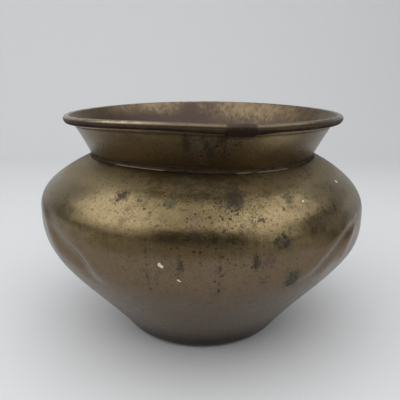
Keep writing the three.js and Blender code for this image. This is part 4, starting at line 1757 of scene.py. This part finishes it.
@dataclass
class Spelter:
    """The fillets of spelter that hold the laps.

    Fullness is a share of the body's fillet, and the seam's run stops so many radii of the roll below it.
    """

    work: HandWork
    material: bpy.types.Material
    steps: int = 480
    lump_turns: tuple[int, ...] = (7, 19, 31, 53)
    lump: float = 0.035
    fullness: float = 0.86
    section_points: int = 6
    hollowness: float = 1.7
    seam_points: int = 40
    seam_stop: float = 4.0
    seam_fullness: float = 0.8
    seam_lump: float = 0.12
    seam_ripple: float = 1.3
    seam_lift: float = 0.04 * MM
    seed: int = 5

    def sizes(self) -> Line:
        """Give the fillet's size at each step round the pot."""
        rng = np.random.default_rng(self.seed)
        azimuths = np.radians(np.arange(self.steps) * 360.0 / self.steps)
        lumps = sum(np.sin(turns * azimuths + rng.uniform(0.0, 2.0 * np.pi)) for turns in self.lump_turns)
        return self.work.lines.body.fillet * (self.fullness + self.lump * lumps)

    def section(self, corner: Line, up: Line, left: Line, size: float) -> Line:
        """Draw a hollow fillet in a corner, counter-clockwise.

        Args:
            corner: the corner.
            up: the unit direction of the sheet that it lies on.
            left: the unit direction along the lip's edge.
            size: the length of its legs.

        Returns:
            The section's outline.
        """
        t = np.linspace(0.0, 1.0, self.section_points)[:, None]
        bow = up * (1 - t) ** self.hollowness + left * t**self.hollowness
        return np.vstack([corner, corner + size * bow])

    def ring(self, name: str, curve: Curve, lap: float, depth: float, node: str) -> bpy.types.Object:
        """Make the ring over a lip's edge.

        Args:
            name: the new piece's name.
            curve: the curve that the covering sheet's inner face follows.
            lap: how far along the curve the lip's edge is.
            depth: the distance from the curve to the lip's nearer face.
            node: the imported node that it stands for.

        Returns:
            The piece.
        """
        body = self.work.lines.body
        up = curve.tangent(lap)
        left = np.array([-up[1], up[0]])
        corner = curve.at(lap)[0] + depth * left + body.clearance / 4 * up
        outlines = [self.section(corner, up, left, size) for size in self.sizes()]
        piece = Sweep.round(self.work, outlines).made(name)
        return finished(piece, self.material, Slot.SPELTER, node)

    def rings(self) -> None:
        """Make the belly's ring and the neck's."""
        lines, body = self.work.lines, self.work.lines.body
        depth = body.sheet + body.clearance / 2
        self.ring("belly_spelter", body.shoulder(), body.belly_lap, depth, "belly_braze")
        self.ring("neck_spelter", lines.wall(), body.neck_lap, body.clearance / 2, "neck_braze")

    def seam(self) -> bpy.types.Object:
        """Make the upright run where the tongue ends against the collar."""
        lines, body = self.work.lines, self.work.lines.body
        wall = lines.wall()
        stop = wall.length - self.seam_stop * lines.roll_radius
        stations = np.linspace(body.over_braze(body.neck_lap), stop, self.seam_points)
        rng = np.random.default_rng(self.seed + 1)
        ripple = np.sin(stations / MM * self.seam_ripple + rng.uniform(0.0, 2.0 * np.pi))
        legs = body.fillet * (self.seam_fullness + self.seam_lump * ripple)
        rings: list[np.ndarray] = []
        t = np.linspace(0.0, 1.0, self.section_points)
        for station, leg in zip(stations, legs):
            foot = wall.at(station)[0]
            up = wall.tangent(station)
            left = np.array([-up[1], up[0]])
            along = np.degrees(np.append(0.0, leg * t**self.hollowness) / foot[0])
            rise = min(leg, body.sheet) * (1 - t) ** self.hollowness
            section = foot + np.outer(np.append(0.0, rise) + self.seam_lift, left)
            azimuths = along + lines.seam_azimuth + lines.seam_lap
            rings.append(self.work.place(section[:, 0], section[:, 1], azimuths))
        piece = Sweep.tube(np.vstack(rings), len(t) + 1).made("seam_spelter")
        return finished(piece, self.material, Slot.SPELTER, "seam_braze")


@dataclass(frozen=True)
class SoftBox:
    """A rectangular light, turned about X, Y and Z from facing down, with its power in watts."""

    name: str
    place: tuple[float, float, float]
    turn: tuple[float, float, float]
    size: tuple[float, float]
    power: float

    def hung(self) -> bpy.types.Object:
        """Hang the light."""
        light = bpy.data.lights.new(self.name, "AREA")
        light.shape = "RECTANGLE"
        light.size, light.size_y = self.size
        light.energy = self.power
        lamp = linked(self.name, light)
        lamp.visible_camera = False
        lamp.location = self.place
        lamp.rotation_euler = Euler([math.radians(angle) for angle in self.turn])
        return lamp


@dataclass
class Studio:
    """The pale floor, the soft lights and the camera."""

    floor_colour: Colour = (0.705, 0.715, 0.725, 1.0)
    floor_roughness: float = 0.7
    floor_front: float = -1.6
    floor_back: float = 1.3
    floor_side: float = 3.0
    backdrop_height: float = 1.8
    backdrop_bend: float = 0.5
    boxes: tuple[SoftBox, ...] = (
        SoftBox("top_box", (-0.325, -0.55, 1.2), (0.0, 0.0, 0.0), (3.55, 2.1), 35.4),
        SoftBox("left_box", (-1.5, -0.8, 0.66), (90.0, 0.0, -62.0), (1.96, 0.82), 6.0),
        SoftBox("right_box", (1.189, -1.071, 0.67), (90.0, 0.0, 48.0), (1.04, 0.9), 4.1),
        SoftBox("side_fill", (1.552, 0.387, 0.32), (90.0, 0.0, 104.0), (1.5, 0.56), 0.95),
        SoftBox("back_box", (-0.5, 0.3, 1.25), (60.0, 0.0, 0.0), (2.6, 0.5), 3.4),
    )
    room_colour: Colour = (0.93, 0.96, 1.0, 1.0)
    room_glow: float = 0.13
    camera_place: tuple[float, float, float] = (0.0, -0.413, 0.2227)
    camera_pitch: float = 15.14
    focal_pixels: float = 467.2
    axis_pixel: float = 201.9

    def floor(self) -> None:
        """Lay the floor and sweep it up into a backdrop."""
        bend, back, side = self.backdrop_bend, self.floor_back, self.floor_side
        bow = arc(np.array([back - bend, bend]), bend, -90.0, 0.0, 16)
        line = np.vstack([[self.floor_front, 0.0], bow, [back, self.backdrop_height]])
        points = [(x, y, z) for y, z in line for x in (-side, side)]
        faces = [(2 * k, 2 * k + 1, 2 * k + 3, 2 * k + 2) for k in range(len(line) - 1)]
        mesh = mesh_of("floor", points, faces)
        mesh.shade_smooth()
        floor = linked("floor", mesh)
        recipe = Recipe("pale_paper")
        mesh.materials.append(recipe.dressed(self.floor_colour, self.floor_roughness, 0.0))

    def lights(self) -> None:
        """Hang the lights and set the room's own glow."""
        for box in self.boxes:
            box.hung()
        world = bpy.data.worlds.new("room")
        world.use_nodes = True
        background = world.node_tree.nodes["Background"]
        background.inputs["Color"].default_value = self.room_colour
        background.inputs["Strength"].default_value = self.room_glow
        bpy.context.scene.world = world

    def camera(self) -> None:
        """Stand the camera where the photograph was taken from."""
        data = bpy.data.cameras.new("camera")
        data.sensor_width = 36.0
        data.lens = self.focal_pixels / IMAGE_SIDE * data.sensor_width
        data.shift_x = (IMAGE_SIDE / 2 - self.axis_pixel) / IMAGE_SIDE
        data.clip_start = 0.01
        camera = linked("camera", data)
        camera.location = self.camera_place
        camera.rotation_euler = Euler((math.radians(90.0 - self.camera_pitch), 0.0, 0.0))
        bpy.context.scene.camera = camera

    def built(self) -> None:
        """Set up everything round the pot."""
        self.camera()
        self.floor()
        self.lights()
        bpy.context.scene.view_settings.view_transform = "Standard"


def main() -> None:
    """Build the pot's visible pieces and the studio round them."""
    logging.basicConfig(level=logging.INFO, format="%(name)s: %(message)s")
    Studio().built()
    work, weathering = HandWork(), Weathering()
    brass = AgedBrass().made()
    body = Body(work, weathering, brass)
    body.bowl()
    body.shoulder()
    Collar(work, weathering, brass).made()
    lime = Crust("dried_lime", (0.78, 0.75, 0.69, 1.0), (0.62, 0.57, 0.48, 1.0)).made()
    Specks(work, "lime_specks", lime, thickness=0.3 * MM, facets=3).made(weathering.lime)
    crust = Crust("dark_crust", (0.030, 0.026, 0.022, 1.0), (0.045, 0.058, 0.048, 1.0)).made()
    Specks(work, "crust_grains", crust).made(weathering.grains())
    spelter = Spelter(work, CastSpelter().made())
    spelter.rings()
    spelter.seam()
    wire = bpy.data.objects["rim_wire"]
    wire.data.materials.clear()
    wire.data.materials.append(DarkIron().made())


if __name__ == "__main__":
    main()
